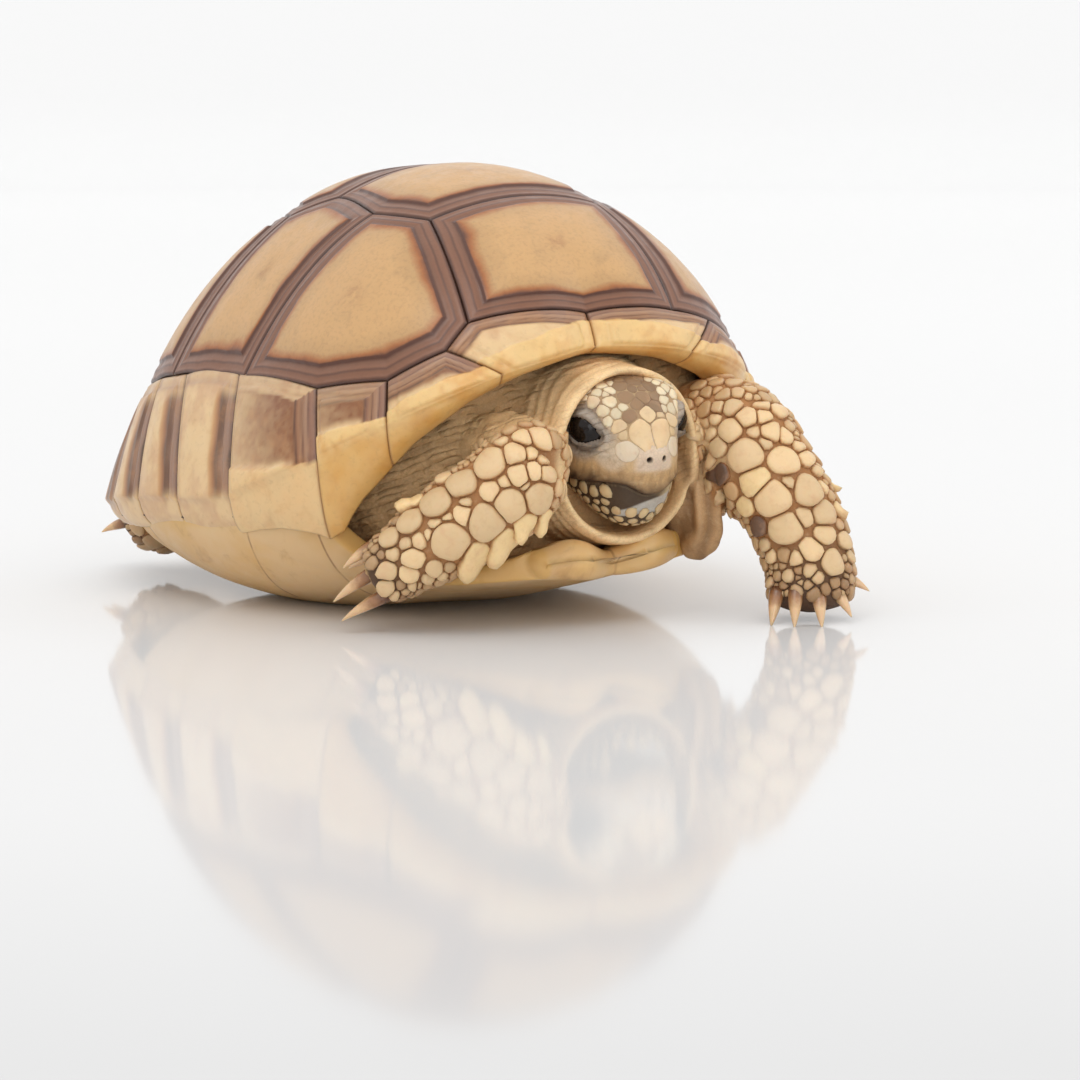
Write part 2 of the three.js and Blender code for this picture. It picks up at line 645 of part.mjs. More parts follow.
// A claw: a curved cone from its root, sunk in the toe, to its point.
// With grow above 0 it is that much longer at the root, for the socket round it.
function claw(root, tip, radius, grow) {
  const tipAt = vec(...tip);
  const rootAt = vec(...root);
  rootAt.add(rootAt.clone().sub(tipAt).setLength(CLAW.sunk + grow));
  const middle = rootAt.clone().lerp(tipAt, 0.6).add(vec(0, 0, CLAW.arch));
  const line = new THREE.QuadraticBezierCurve3(rootAt, middle, tipAt);
  const ring = ([t, share]) => {
    const centre = line.getPoint(t);
    const along = line.getTangent(t);
    const side = along.clone().cross(vec(0, 0, 1)).normalize();
    const up = side.clone().cross(along);
    return Array.from({ length: CLAW.sides }, (_, i) => {
      const turn = (2 * Math.PI * i) / CLAW.sides;
      const point = centre.clone().addScaledVector(side, Math.cos(turn) * radius * share);
      return point.addScaledVector(up, Math.sin(turn) * radius * share);
    });
  };
  return skinRings([...CLAW.rings.map(ring), [tipAt]]);
}

// ---------- the neck's collar ----------

// Rings of the collar from its root, over the rolled edge and into the hollow for the head,
// as [y, share of its outer size].
const COLLAR_RINGS = [
  [BODY.frontY - GAP, 0.86], [-28.5, 0.95], [-31, 1], [-32.6, 1], [-33.3, 0.965],
  [-33.3, 0.92], [-32.6, 0.88], [-30.5, 0.86], [COLLAR.socketY, 0.8],
];

function collarRing(y, share, grow = 0) {
  return angles(22).map((turn) =>
    vec(
      COLLAR.x + Math.sin(turn) * (COLLAR.halfWidth * share + grow),
      y,
      COLLAR.z + Math.cos(turn) * (COLLAR.halfHeight * share + grow),
    ),
  );
}

const collar = skinRings(COLLAR_RINGS.map(([y, share]) => collarRing(y, share)));
// The collar's outside, a gap's width larger, to cut what stands beside it.
const collarCutter = skinRings(
  [[BODY.frontY + 1, 0.86], [-28.5, 0.95], [-31, 1], [-33.3, 1]].map(([y, share]) => collarRing(y, share, GAP)),
);

// ---------- the head ----------

// Sections of the head in its own frame, as [y, half width, top, bottom]. The nose is at the front.
const HEAD_SECTIONS = [
  [8.2, 3.4, 2.2, -2.6], [6, 5.4, 3.9, -4.6], [3, 6.3, 4.9, -6.6], [0, 6.35, 5.3, -7.9], [-3, 5.6, 4.9, -8.5],
  [-5.4, 4.4, 3.6, -8.4], [-7.2, 3.3, 1.7, -7.6], [-8.1, 2.3, 0.5, -6.3], [-8.5, 1.2, -0.2, -4.7],
];
const NOSE = vec(0, -8.5, -1.2);
const MOUTH = { top: -4.9, bottom: -5.35, cornerY: 0.4, recess: 0.3 };
const EYE = { centre: vec(4.25, -3.4, 1.2), radius: 1.75, facing: vec(0.9, -0.42, 0.1), lid: 0.42, lidRadius: 1.72 };

const headMatrix = new THREE.Matrix4().makeRotationFromEuler(
  new THREE.Euler(radians(HEAD.pitch), radians(HEAD.roll), radians(HEAD.yaw), "ZYX"),
);
headMatrix.setPosition(vec(...HEAD.nose).sub(NOSE.clone().applyMatrix4(headMatrix)));
const inHead = (solid) => moved(solid, headMatrix);
const mirrored = (point, side) => vec(side * point.x, point.y, point.z);

function headRing([y, halfWidth, top, bottom], grow, sides = 16) {
  const middle = lerp(bottom, top, 0.52);
  return Array.from({ length: sides }, (_, i) => {
    const turn = (2 * Math.PI * (i + 0.5)) / sides;
    const [s, c] = [Math.sin(turn), Math.cos(turn)];
    const x = Math.sign(s) * Math.abs(s) ** 0.85 * (halfWidth + grow);
    const reach = c > 0 ? top - middle + grow : middle - bottom + grow;
    return vec(x, y, middle + Math.sign(c) * Math.abs(c) ** 0.9 * reach);
  });
}
const headForm = (grow) => skinRings(HEAD_SECTIONS.map((section) => headRing(section, grow)));

// Scales and swellings of the head: centre and radii. Those off the middle come in pairs.
const HEAD_FORMS = [
  { at: vec(3.9, -2.5, 3.0), size: vec(2.0, 3.1, 1.5) }, // brows over the eyes
  { at: vec(1.3, -6.3, 1.8), size: vec(1.35, 1.7, 0.9) }, // paired scales behind the nostrils
  { at: vec(0, -7.7, -0.3), size: vec(2.2, 1.1, 1.5) }, // scale round the nostrils
  { at: vec(4.9, 2.8, -1.6), size: vec(1.7, 3.0, 3.0) }, // jaw muscles
];
const NOSTRIL = { at: vec(0.8, -8.7, -0.1), radius: 0.42 };

function eyeLids(side) {
  const ring = new THREE.TorusGeometry(EYE.lidRadius, EYE.lid, 5, 14).scale(1, 0.78, 1);
  const facing = mirrored(EYE.facing, side).normalize();
  const turn = new THREE.Matrix4().lookAt(facing, vec(0, 0, 0), vec(0, 0, 1));
  const at = mirrored(EYE.centre, side).addScaledVector(facing, 0.95);
  return solidFromGeometry(ring.applyMatrix4(turn).translate(at.x, at.y, at.z));
}

// The head without its openings, larger all round by the amount given.
function headBulk(grow) {
  const forms = HEAD_FORMS.flatMap(({ at, size }) =>
    (at.x === 0 ? [1] : [-1, 1]).map((side) => ellipsoid(mirrored(at, side), size.clone().addScalar(grow), 10, 6)),
  );
  return join([headForm(grow), ...forms]);
}

function headSolid() {
  const sockets = [-1, 1].map((side) => {
    const radius = EYE.radius + GAP;
    return ellipsoid(mirrored(EYE.centre, side), vec(radius, radius, radius), 12, 8);
  });
  const nostrils = [-1, 1].map((side) => {
    const radius = NOSTRIL.radius;
    return ellipsoid(mirrored(NOSTRIL.at, side), vec(radius, radius, radius), 6, 4);
  });
  const mouth = box(vec(-REACH, -REACH, -REACH), vec(REACH, MOUTH.cornerY + GAP, MOUTH.top));
  return cut(join([headBulk(0), eyeLids(-1), eyeLids(1)]), [mouth, ...sockets, ...nostrils]);
}

function jawSolid() {
  const room = box(vec(-REACH, NOSE.y + MOUTH.recess, -REACH), vec(REACH, MOUTH.cornerY, MOUTH.bottom));
  return headForm(-MOUTH.recess / 3).intersect(room);
}

const head = inHead(headSolid()).intersect(half.front(COLLAR.socketY - GAP));
const lowerJaw = inHead(jawSolid()).intersect(half.front(COLLAR.socketY - GAP));
const eye = (side) => {
  const radius = EYE.radius;
  return inHead(ellipsoid(mirrored(EYE.centre, side), vec(radius, radius, radius), 12, 8));
};
const neck = cut(collar, [inHead(headBulk(1.5 * GAP)), plastronCutter, carapaceCutter]);

// ---------- legs, claws and tail ----------

// Each leg: its stations from the shoulder or hip to the foot, the station at its elbow,
// the way its face looks, its scales and its claws as [root, tip].
const LEGS = {
  foreleg_right: {
    stations: [
      { at: [-11.6, -23.5, 17.0], wide: 4.6, deep: 4.6 },
      { at: [-10.4, -29.5, 17.8], wide: 4.7, deep: 4.6 },
      { at: [-10.6, -33.2, 16.2], wide: 4.8, deep: 4.5 },
      { at: [-12.3, -32.2, 14.1], wide: 4.9, deep: 4.5 },
      { at: [-15.6, -29.9, 11.6], wide: 4.7, deep: 4.1 },
      { at: [-18.3, -27.6, 9.1], wide: 4.3, deep: 3.6 },
      { at: [-21.0, -25.3, 6.6], wide: 3.5, deep: 2.9 },
      { at: [-22.3, -24.5, 5.6], wide: 3.1, deep: 2.5 },
    ],
    elbow: 2,
    face: vec(-0.35, -0.8, 0.35),
    scales: { from: 0.28, to: 0.97, rows: 6, spread: 80, columns: 4, along: 2.3, across: 2.3, height: 0.5 },
    clawRadius: 0.95,
    claws: [
      [[-20.8, -22.6, 5.2], [-21.8, -20.5, 4.1]],
      [[-21.6, -22.2, 7.2], [-23.3, -20.0, 5.8]],
      [[-22.9, -23.4, 8.0], [-25.3, -22.3, 6.2]],
      [[-23.6, -24.1, 5.4], [-26.4, -22.3, 3.0]],
      [[-22.7, -24.9, 3.3], [-25.9, -23.0, 1.2]],
    ],
  },
  foreleg_left: {
    stations: [
      { at: [13.2, -23.5, 17.4], wide: 4.8, deep: 4.7 },
      { at: [13.7, -29.5, 18.7], wide: 5.0, deep: 4.8 },
      { at: [14.6, -33.4, 17.9], wide: 5.1, deep: 4.9 },
      { at: [15.2, -35.2, 14.8], wide: 5.2, deep: 4.9 },
      { at: [16.6, -37.2, 11.8], wide: 4.9, deep: 4.6 },
      { at: [17.5, -38.4, 8.6], wide: 4.7, deep: 4.3 },
      { at: [18.0, -39.5, 5.2], wide: 4.5, deep: 4.0 },
      { at: [17.9, -39.8, 2.6], wide: 4.5, deep: 3.9 },
    ],
    elbow: 2,
    face: vec(-0.25, -1, 0.3),
    scales: { from: 0.26, to: 0.95, rows: 6, spread: 85, columns: 4, along: 2.5, across: 2.4, height: 0.5 },
    clawRadius: 0.92,
    claws: [
      [[13.4, -40.2, 2.4], [12.2, -41.1, -0.2]],
      [[14.6, -41.8, 2.6], [13.5, -43.2, -0.2]],
      [[16.8, -42.7, 2.5], [15.8, -44.6, -0.2]],
      [[19.2, -42.4, 2.8], [19.2, -44.9, 0.7]],
      [[21.3, -41.0, 4.0], [22.8, -43.0, 2.8]],
    ],
    fold: { at: vec(10.8, -30.2, 11.2), size: vec(2.8, 4.2, 6.0) },
  },
  hindleg_right: {
    stations: [
      { at: [-14.5, 21.0, 9.5], wide: 5.2, deep: 4.6 },
      { at: [-17.0, 25.3, 7.0], wide: 5.0, deep: 4.2 },
      { at: [-18.9, 28.0, 5.4], wide: 4.3, deep: 3.5 },
      { at: [-19.8, 29.5, 4.6], wide: 3.9, deep: 2.7 },
    ],
    face: vec(-0.5, 0.2, -0.8),
    scales: { from: 0.62, to: 0.98, rows: 2, spread: 80, columns: 4, along: 1.6, across: 1.5, height: 0.4 },
    clawRadius: 0.85,
    claws: [
      [[-17.4, 31.2, 5.0], [-17.5, 33.2, 4.4]],
      [[-19.2, 31.9, 5.0], [-19.7, 34.0, 4.3]],
      [[-20.9, 31.6, 4.9], [-22.0, 33.5, 4.1]],
      [[-22.3, 30.4, 4.8], [-23.9, 31.8, 4.0]],
    ],
  },
  hindleg_left: {
    stations: [
      { at: [14.0, 21.0, 10.4], wide: 5.2, deep: 4.6 },
      { at: [16.4, 25.3, 8.4], wide: 5.0, deep: 4.2 },
      { at: [18.0, 28.0, 7.0], wide: 4.3, deep: 3.6 },
      { at: [18.8, 29.6, 6.0], wide: 3.9, deep: 2.8 },
    ],
    face: vec(0.5, 0.2, -0.8),
    scales: { from: 0.62, to: 0.98, rows: 2, spread: 80, columns: 4, along: 1.6, across: 1.5, height: 0.4 },
    clawRadius: 0.85,
    claws: [
      [[16.4, 31.2, 6.0], [16.5, 33.2, 5.3]],
      [[18.2, 31.9, 6.0], [18.6, 34.0, 5.2]],
      [[19.9, 31.6, 5.9], [20.9, 33.5, 5.1]],
      [[21.3, 30.4, 5.8], [22.8, 31.8, 5.0]],
    ],
  },
};

// Scales in staggered rows over the face of a limb, smaller towards its edges and its foot.
function scalesOn(limb, { from, to, rows, spread, columns, along, across, height }) {
  const made = [];
  for (let row = 0; row < rows; row++) {
    const t = lerp(from, to, row / (rows - 1));
    const count = columns - (row % 2);
    for (let i = 0; i < count; i++) {
      const place = count > 1 ? -1 + (2 * i) / (count - 1) : 0;
      const angle = place * spread * (row % 2 ? 0.8 : 1) + draw(-3, 3);
      const size = (1 - 0.22 * Math.abs(place)) * (1 - 0.3 * smoothstep(t, 0.75, 1)) * draw(0.9, 1.08);
      made.push(limb.scale(t, angle, along * size, across * size, height));
    }
  }
  return made;
}

// The lengths of a leg: one, or two that meet at the elbow, so that its skin never crosses itself.
function legLengths({ stations, face, elbow }) {
  if (!elbow) return [new Limb(stations, face).solid()];
  const lengths = [stations.slice(0, elbow + 1), stations.slice(elbow)];
  return lengths.map((part) => new Limb(part, face).solid(ELBOW_RINGS, ELBOW_SIDES));
}

function legNodes(name) {
  const { stations, face, scales, clawRadius, claws, fold } = LEGS[name];
  const limb = new Limb(stations, face);
  const isFront = name.startsWith("foreleg");
  const pieces = [...legLengths(LEGS[name]), ...scalesOn(limb, scales)];
  if (fold) pieces.push(ellipsoid(fold.at, fold.size, 10, 6));
  const room = isFront ? half.front(BODY.frontY - GAP) : half.behind(BODY.rearY + GAP);
  const sockets = claws.map(([root, tip]) => claw(root, tip, clawRadius + GAP, GAP));
  const leg = cut(join(pieces).intersect(room).intersect(half.above(0)), [
    carapaceCutter,
    collarCutter,
    plastronCutter,
    ...sockets,
  ]);
  const clawNames = claws.map((_, i) => `claw_${name.replace("leg", "")}_${i + 1}`);
  return [
    nodeOf(name, leg, LOOKS.scales),
    ...claws.map(([root, tip], i) =>
      nodeOf(clawNames[i], claw(root, tip, clawRadius, 0).intersect(half.above(0)), LOOKS.claw)),
  ];
}

const TAIL = {
  stations: [
    { at: [0, 21.5, 7.4], wide: 3.0, deep: 2.6 },
    { at: [-0.3, 25.5, 6.6], wide: 2.4, deep: 2.1 },
    { at: [-1.0, 28.2, 5.3], wide: 1.6, deep: 1.4 },
    { at: [-1.9, 30.0, 3.8], wide: 0.8, deep: 0.7 },
  ],
  face: vec(0, 0.3, 1),
};
const tail = cut(new Limb(TAIL.stations, TAIL.face).solid(8, 12).intersect(half.behind(BODY.rearY + GAP)), [
  carapaceCutter,
  plastronCutter,
]);

// ---------- the model ----------

const group = new THREE.Group();
group.add(nodeOf("carapace", carapace, LOOKS.carapace));
group.add(nodeOf("plastron", plastron, LOOKS.plastron));
group.add(nodeOf("torso", torso, LOOKS.skin));
group.add(nodeOf("neck", neck, LOOKS.skin));
group.add(nodeOf("head", head, LOOKS.head));
group.add(nodeOf("lower_jaw", lowerJaw, LOOKS.jaw));
group.add(nodeOf("eye_right", eye(-1), LOOKS.eye));
group.add(nodeOf("eye_left", eye(1), LOOKS.eye));
group.add(nodeOf("tail", tail, LOOKS.skin));
for (const name of Object.keys(LEGS)) group.add(...legNodes(name));

export default group;
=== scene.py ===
"""A young African spurred tortoise, life size, as a still museum model.

Sizes in the fields below are in millimetres, and a mesh is brought to metres when its
piece is finished. The head faces -Y, the animal's left side is +X and the floor is z = 0.
The shell is made of single horny plates with growth rings, the soft parts are one skin,
and the horny scales are solid pieces that stand on that skin.
"""

import logging
import math
from dataclasses import dataclass, field
from enum import Enum

import bpy
import numpy as np
from mathutils import Matrix, Vector
from mathutils.bvhtree import BVHTree
from mathutils.kdtree import KDTree


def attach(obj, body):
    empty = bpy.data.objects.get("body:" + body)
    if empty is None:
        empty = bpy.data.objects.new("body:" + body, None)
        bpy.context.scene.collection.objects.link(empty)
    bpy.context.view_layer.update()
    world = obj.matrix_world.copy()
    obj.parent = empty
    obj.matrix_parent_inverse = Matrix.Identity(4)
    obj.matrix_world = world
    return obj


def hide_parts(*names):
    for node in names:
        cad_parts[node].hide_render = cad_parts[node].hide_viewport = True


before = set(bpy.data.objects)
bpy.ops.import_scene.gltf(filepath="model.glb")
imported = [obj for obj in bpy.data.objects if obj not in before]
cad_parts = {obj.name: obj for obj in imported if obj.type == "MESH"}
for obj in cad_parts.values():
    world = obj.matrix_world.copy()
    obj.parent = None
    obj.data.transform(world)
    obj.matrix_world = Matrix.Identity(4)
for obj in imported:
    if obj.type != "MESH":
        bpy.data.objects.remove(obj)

Socket = bpy.types.NodeSocket

LOG = logging.getLogger("tortoise")
MM = 0.001


# ---------- numbers ----------


def smooth(value: np.ndarray, low: float, high: float) -> np.ndarray:
    """Gives a value's smooth step from 0 at low to 1 at high."""
    share = np.clip((np.asarray(value, float) - low) / (high - low), 0.0, 1.0)
    return share * share * (3.0 - 2.0 * share)


def lerp(start: np.ndarray, end: np.ndarray, share: np.ndarray) -> np.ndarray:
    """Gives the point a share of the way from start to end."""
    return start + (end - start) * share


def tinted(colour: np.ndarray, towards: np.ndarray, share: np.ndarray) -> np.ndarray:
    """Blends colours towards others, by one share for each colour."""
    return lerp(colour, towards, share[..., None])


def unit(vectors: np.ndarray) -> np.ndarray:
    """Gives the vectors at length one."""
    length = np.linalg.norm(vectors, axis=-1, keepdims=True)
    return vectors / np.maximum(length, 1e-9)


def grain(points: np.ndarray, cell: float, seed: int) -> np.ndarray:
    """Draws smooth noise over points.

    Args:
        points: Places in millimetres, one row each.
        cell: The size of a blob in millimetres.
        seed: The number that picks the pattern.

    Returns:
        One value from -1 to 1 for each point.
    """
    place = np.asarray(points, float) / cell
    base = np.floor(place).astype(np.int64)
    part = place - base
    part = part * part * (3.0 - 2.0 * part)
    total = np.zeros(len(place))
    for corner in range(8):
        step = np.array([corner & 1, corner >> 1 & 1, corner >> 2 & 1])
        at = base + step
        mixed = at[:, 0] * 374761393 + at[:, 1] * 668265263 + at[:, 2] * 2147483629 + seed * 1274126177
        mixed = (mixed ^ (mixed >> 13)) * 1274126177
        value = ((mixed ^ (mixed >> 16)) & 0xFFFF) / 32767.5 - 1.0
        weight = np.prod(np.where(step, part, 1.0 - part), axis=1)
        total += value * weight
    return total


def tone(red: int, green: int, blue: int) -> np.ndarray:
    """Turns a screen colour from 0 to 255 into a linear one."""
    share = np.array([red, green, blue], float) / 255.0
    return np.where(share <= 0.04045, share / 12.92, ((share + 0.055) / 1.055) ** 2.4)


class Palette(Enum):
    """A list of named colours, each from 0 to 255."""

    def linear(self) -> np.ndarray:
        """Gives the colour as a linear one."""
        return tone(*self.value)


def turned(x: float = 0.0, y: float = 0.0, z: float = 0.0) -> np.ndarray:
    """Gives the matrix that turns by degrees about X first, then Y, then Z."""
    turns = ((x, "X"), (y, "Y"), (z, "Z"))
    around_x, around_y, around_z = (Matrix.Rotation(math.radians(degrees), 3, axis) for degrees, axis in turns)
    return np.array(around_z @ around_y @ around_x)


# ---------- meshes ----------


@dataclass
class Surface:
    """Points, faces and values that become one mesh."""

    points: list = field(default_factory=list)
    faces: list = field(default_factory=list)
    values: dict = field(default_factory=dict)
    count: int = 0

    def add(self, points: np.ndarray, faces: list, **values: np.ndarray) -> None:
        """Adds a part to the surface.

        Args:
            points: The part's points, one row each.
            faces: Its faces, as tuples of rows of points.
            values: One value, or one row of values, for each point.
        """
        self.points.append(np.asarray(points, float))
        self.faces.extend(tuple(int(i) + self.count for i in face) for face in faces)
        for name, value in values.items():
            self.values.setdefault(name, []).append(np.asarray(value, float))
        self.count += len(points)

    def joined(self) -> np.ndarray:
        """Gives all points as one array."""
        return np.concatenate(self.points)


def grid_faces(rows: int, columns: int, closed: bool = False) -> list:
    """Lists the four-sided faces of a grid of points.

    Args:
        rows: Points along the first way.
        columns: Points along the second way.
        closed: Whether the last column meets the first one.

    Returns:
        The faces as tuples of four rows.
    """
    faces = []
    last = columns if closed else columns - 1
    for i in range(rows - 1):
        here, there = i * columns, (i + 1) * columns
        for j in range(last):
            k = (j + 1) % columns
            faces.append((here + j, here + k, there + k, there + j))
    return faces


def fan(first: int, columns: int, hub: int, turned_over: bool = False) -> list:
    """Lists the triangles between a ring of points and a hub.

    Args:
        first: The row of the ring's first point.
        columns: Points in the ring.
        hub: The row of the hub.
        turned_over: Whether the triangles look the other way.

    Returns:
        The faces as tuples of three rows.
    """
    sides = [(first + j, first + (j + 1) % columns) for j in range(columns)]
    return [(b, a, hub) if turned_over else (a, b, hub) for a, b in sides]


def capped(rows: int, columns: int) -> list:
    """Lists the faces of a tube of points that one face closes at each end."""
    count = rows * columns
    ends = [tuple(range(columns))[::-1], tuple(range(count - columns, count))]
    return grid_faces(rows, columns, closed=True) + ends


def hubbed(rows: int, columns: int) -> list:
    """Lists the faces of a tube of points that the two points after it close as hubs."""
    count = rows * columns
    ends = fan(0, columns, count, turned_over=True) + fan(count - columns, columns, count + 1)
    return grid_faces(rows, columns, closed=True) + ends


def piece_from(name: str, surface: Surface) -> bpy.types.Object:
    """Makes an object from a surface, in millimetres.

    Args:
        name: The object's name.
        surface: What it is made of.

    Returns:
        The new object, with its values as attributes of its points.
    """
    mesh = bpy.data.meshes.new(name)
    mesh.from_pydata(surface.joined().tolist(), [], surface.faces)
    piece = bpy.data.objects.new(name, mesh)
    bpy.context.scene.collection.objects.link(piece)
    for key, parts in surface.values.items():
        paint(piece, key, np.concatenate(parts))
    return piece


def points_of(piece: bpy.types.Object) -> np.ndarray:
    """Gives a mesh object's points, one row each."""
    flat = np.zeros(len(piece.data.vertices) * 3, np.float32)
    piece.data.vertices.foreach_get("co", flat)
    return flat.reshape(-1, 3).astype(float)


def normals_of(piece: bpy.types.Object) -> np.ndarray:
    """Gives the normals of a mesh object's points."""
    flat = np.zeros(len(piece.data.vertices) * 3, np.float32)
    piece.data.update()
    piece.data.vertex_normals.foreach_get("vector", flat)
    return flat.reshape(-1, 3).astype(float)


def set_points(piece: bpy.types.Object, points: np.ndarray) -> None:
    """Moves a mesh object's points."""
    piece.data.vertices.foreach_set("co", points.astype(np.float32).ravel())
    piece.data.update()


def paint(piece: bpy.types.Object, name: str, values: np.ndarray) -> None:
    """Stores a value or a colour for each point of a piece under a name."""
    attributes = piece.data.attributes
    old = attributes.get(name)
    if old is not None:
        attributes.remove(old)
    if values.ndim == 1:
        attributes.new(name, "FLOAT", "POINT").data.foreach_set("value", values.astype(np.float32))
        return
    colours = np.concatenate([values, np.ones((len(values), 1))], axis=1)
    layer = attributes.new(name, "FLOAT_COLOR", "POINT")
    layer.data.foreach_set("color", colours.astype(np.float32).ravel())


def off_floor(piece: bpy.types.Object) -> None:
    """Lifts the points of a piece in millimetres that lie under the floor onto it."""
    points = points_of(piece)
    points[:, 2] = np.maximum(points[:, 2], 0.0)
    set_points(piece, points)


def point_tree(places: np.ndarray) -> KDTree:
    """Makes a tree that finds the nearest ones of some places."""
    tree = KDTree(len(places))
    for number, place in enumerate(places):
        tree.insert(Vector(place), number)
    tree.balance()
    return tree


def alone(piece: bpy.types.Object) -> None:
    """Leaves one piece selected and active."""
    bpy.ops.object.select_all(action="DESELECT")
    piece.select_set(True)
    bpy.context.view_layer.objects.active = piece


def modified(piece: bpy.types.Object, kind: str, **settings: object) -> bpy.types.Object:
    """Adds a modifier to a piece and applies it.

    Args:
        piece: The piece to change.
        kind: The modifier's type.
        settings: Its values.

    Returns:
        The same piece.
    """
    alone(piece)
    modifier = piece.modifiers.new(kind.lower(), kind)
    for key, value in settings.items():
        setattr(modifier, key, value)
    bpy.ops.object.modifier_apply(modifier=modifier.name)
    return piece


def outward(piece: bpy.types.Object) -> None:
    """Turns all faces of a closed piece to look outwards."""
    alone(piece)
    bpy.ops.object.mode_set(mode="EDIT")
    bpy.ops.mesh.select_all(action="SELECT")
    bpy.ops.mesh.normals_make_consistent(inside=False)
    bpy.ops.object.mode_set(mode="OBJECT")


def finished(piece: bpy.types.Object, material: bpy.types.Material, nodes: tuple = ()) -> bpy.types.Object:
    """Brings a piece to metres, shades it and hands it to the frame.

    Args:
        piece: A piece in millimetres.
        material: Its finish.
        nodes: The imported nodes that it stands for.

    Returns:
        The same piece.
    """
    piece.data.transform(Matrix.Scale(MM, 4))
    piece.data.polygons.foreach_set("use_smooth", [True] * len(piece.data.polygons))
    piece.data.materials.clear()
    piece.data.materials.append(material)
    piece.data.update()
    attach(piece, "root")
    if nodes:
        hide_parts(*nodes)
    triangles = sum(len(face.vertices) - 2 for face in piece.data.polygons)
    LOG.info("%s: %d triangles", piece.name, triangles)
    return piece


# ---------- finishes ----------


class Graph:
    """The nodes of one material."""

    def __init__(self, name: str) -> None:
        """Starts a material with a shader and an output."""
        self.material = bpy.data.materials.new(name)
        self.material.use_nodes = True
        self.nodes = self.material.node_tree.nodes
        self.links = self.material.node_tree.links
        self.nodes.clear()
        self.shader = self.nodes.new("ShaderNodeBsdfPrincipled")
        output = self.nodes.new("ShaderNodeOutputMaterial")
        self.links.new(self.shader.outputs["BSDF"], output.inputs["Surface"])
        self.place = self.nodes.new("ShaderNodeTexCoord").outputs["Object"]

    def attribute(self, name: str, colour: bool = False) -> Socket:
        """Reads a value or a colour that the piece's points hold."""
        node = self.nodes.new("ShaderNodeAttribute")
        node.attribute_name = name
        return node.outputs["Color" if colour else "Fac"]

    def noise(self, scale: float, detail: float = 3.0, rough: float = 0.55, warp: float = 0.0) -> Socket:
        """Adds noise whose blobs are a metre divided by scale."""
        node = self.nodes.new("ShaderNodeTexNoise")
        node.inputs["Scale"].default_value = scale
        node.inputs["Detail"].default_value = detail
        node.inputs["Roughness"].default_value = rough
        node.inputs["Distortion"].default_value = warp
        self.links.new(self.place, node.inputs["Vector"])
        return node.outputs["Fac"]

    def cells(self, scale: float) -> Socket:
        """Adds cells, as the distance to their edges."""
        node = self.nodes.new("ShaderNodeTexVoronoi")
        node.feature = "DISTANCE_TO_EDGE"
        node.inputs["Scale"].default_value = scale
        self.links.new(self.place, node.inputs["Vector"])
        return node.outputs["Distance"]

    def across(self, way: tuple) -> Socket:
        """Measures the place along a direction, in metres."""
        node = self.nodes.new("ShaderNodeVectorMath")
        node.operation = "DOT_PRODUCT"
        self.links.new(self.place, node.inputs[0])
        node.inputs[1].default_value = way
        return node.outputs["Value"]

    def creases(self, way: tuple, spacing: float, wander: float) -> Socket:
        """Draws wandering creases across a direction: 0 in a crease and 1 between two.

        Args:
            way: The direction that the creases lie across.
            spacing: The distance between two creases in metres.
            wander: How far they wander, in parts of the spacing.

        Returns:
            The height of the skin.
        """
        turns = self.math("MULTIPLY", self.across(way), math.pi / spacing)
        bent = self.math("ADD", turns, self.math("MULTIPLY", self.noise(260, 4, 0.6), wander * math.pi * 2))
        return self.math("ABSOLUTE", self.math("SINE", bent))

    def put(self, socket: Socket, value: object) -> None:
        """Links a socket to an output, or sets its value."""
        if isinstance(value, Socket):
            self.links.new(value, socket)
        elif isinstance(value, (np.ndarray, tuple, list)):
            socket.default_value = (*[float(v) for v in value][:3], 1.0)
        else:
            socket.default_value = value

    def math(self, operation: str, first: object, second: object = 0.0, clamp: bool = False) -> Socket:
        """Adds a sum, a product or another operation on numbers."""
        node = self.nodes.new("ShaderNodeMath")
        node.operation = operation
        node.use_clamp = clamp
        self.put(node.inputs[0], first)
        self.put(node.inputs[1], second)
        return node.outputs[0]

    def span(self, value: object, low: float, high: float, start: float = 0.0, end: float = 1.0) -> Socket:
        """Maps a range of a value onto another, smoothly and clamped."""
        node = self.nodes.new("ShaderNodeMapRange")
        node.interpolation_type = "SMOOTHSTEP"
        for socket, number in zip(list(node.inputs)[:5], (value, low, high, start, end)):
            self.put(socket, number)
        return node.outputs[0]

    def mix(self, share: object, first: object, second: object) -> Socket:
        """Mixes two colours."""
        node = self.nodes.new("ShaderNodeMix")
        node.data_type = "RGBA"
        node.clamp_factor = True
        self.put(node.inputs[0], share)
        self.put(node.inputs[6], first)
        self.put(node.inputs[7], second)
        return node.outputs[2]

    def ramp(self, value: Socket, stops: list) -> Socket:
        """Colours a value by stops of (place, colour)."""
        node = self.nodes.new("ShaderNodeValToRGB")
        elements = node.color_ramp.elements
        while len(elements) < len(stops):
            elements.new(0.5)
        for element, (place, colour) in zip(elements, stops):
            element.position = place
            element.color = (*[float(c) for c in colour], 1.0)
        self.links.new(value, node.inputs[0])
        return node.outputs[0]

    def bump(self, height: Socket, strength: float, distance: float) -> None:
        """Adds relief to the shader's normal, on top of what it has."""
        node = self.nodes.new("ShaderNodeBump")
        node.inputs["Strength"].default_value = strength
        node.inputs["Distance"].default_value = distance
        self.links.new(height, node.inputs["Height"])
        before = self.shader.inputs["Normal"].links
        if before:
            self.links.new(before[0].from_socket, node.inputs["Normal"])
        self.links.new(node.outputs["Normal"], self.shader.inputs["Normal"])

    def wobble(self, noise: Socket, size: float) -> Socket:
        """Turns noise into a shift to both sides of zero, as wide in all as size."""
        shift = self.math("MULTIPLY_ADD", noise, size)
        shift.node.inputs[2].default_value = -size / 2
        return shift

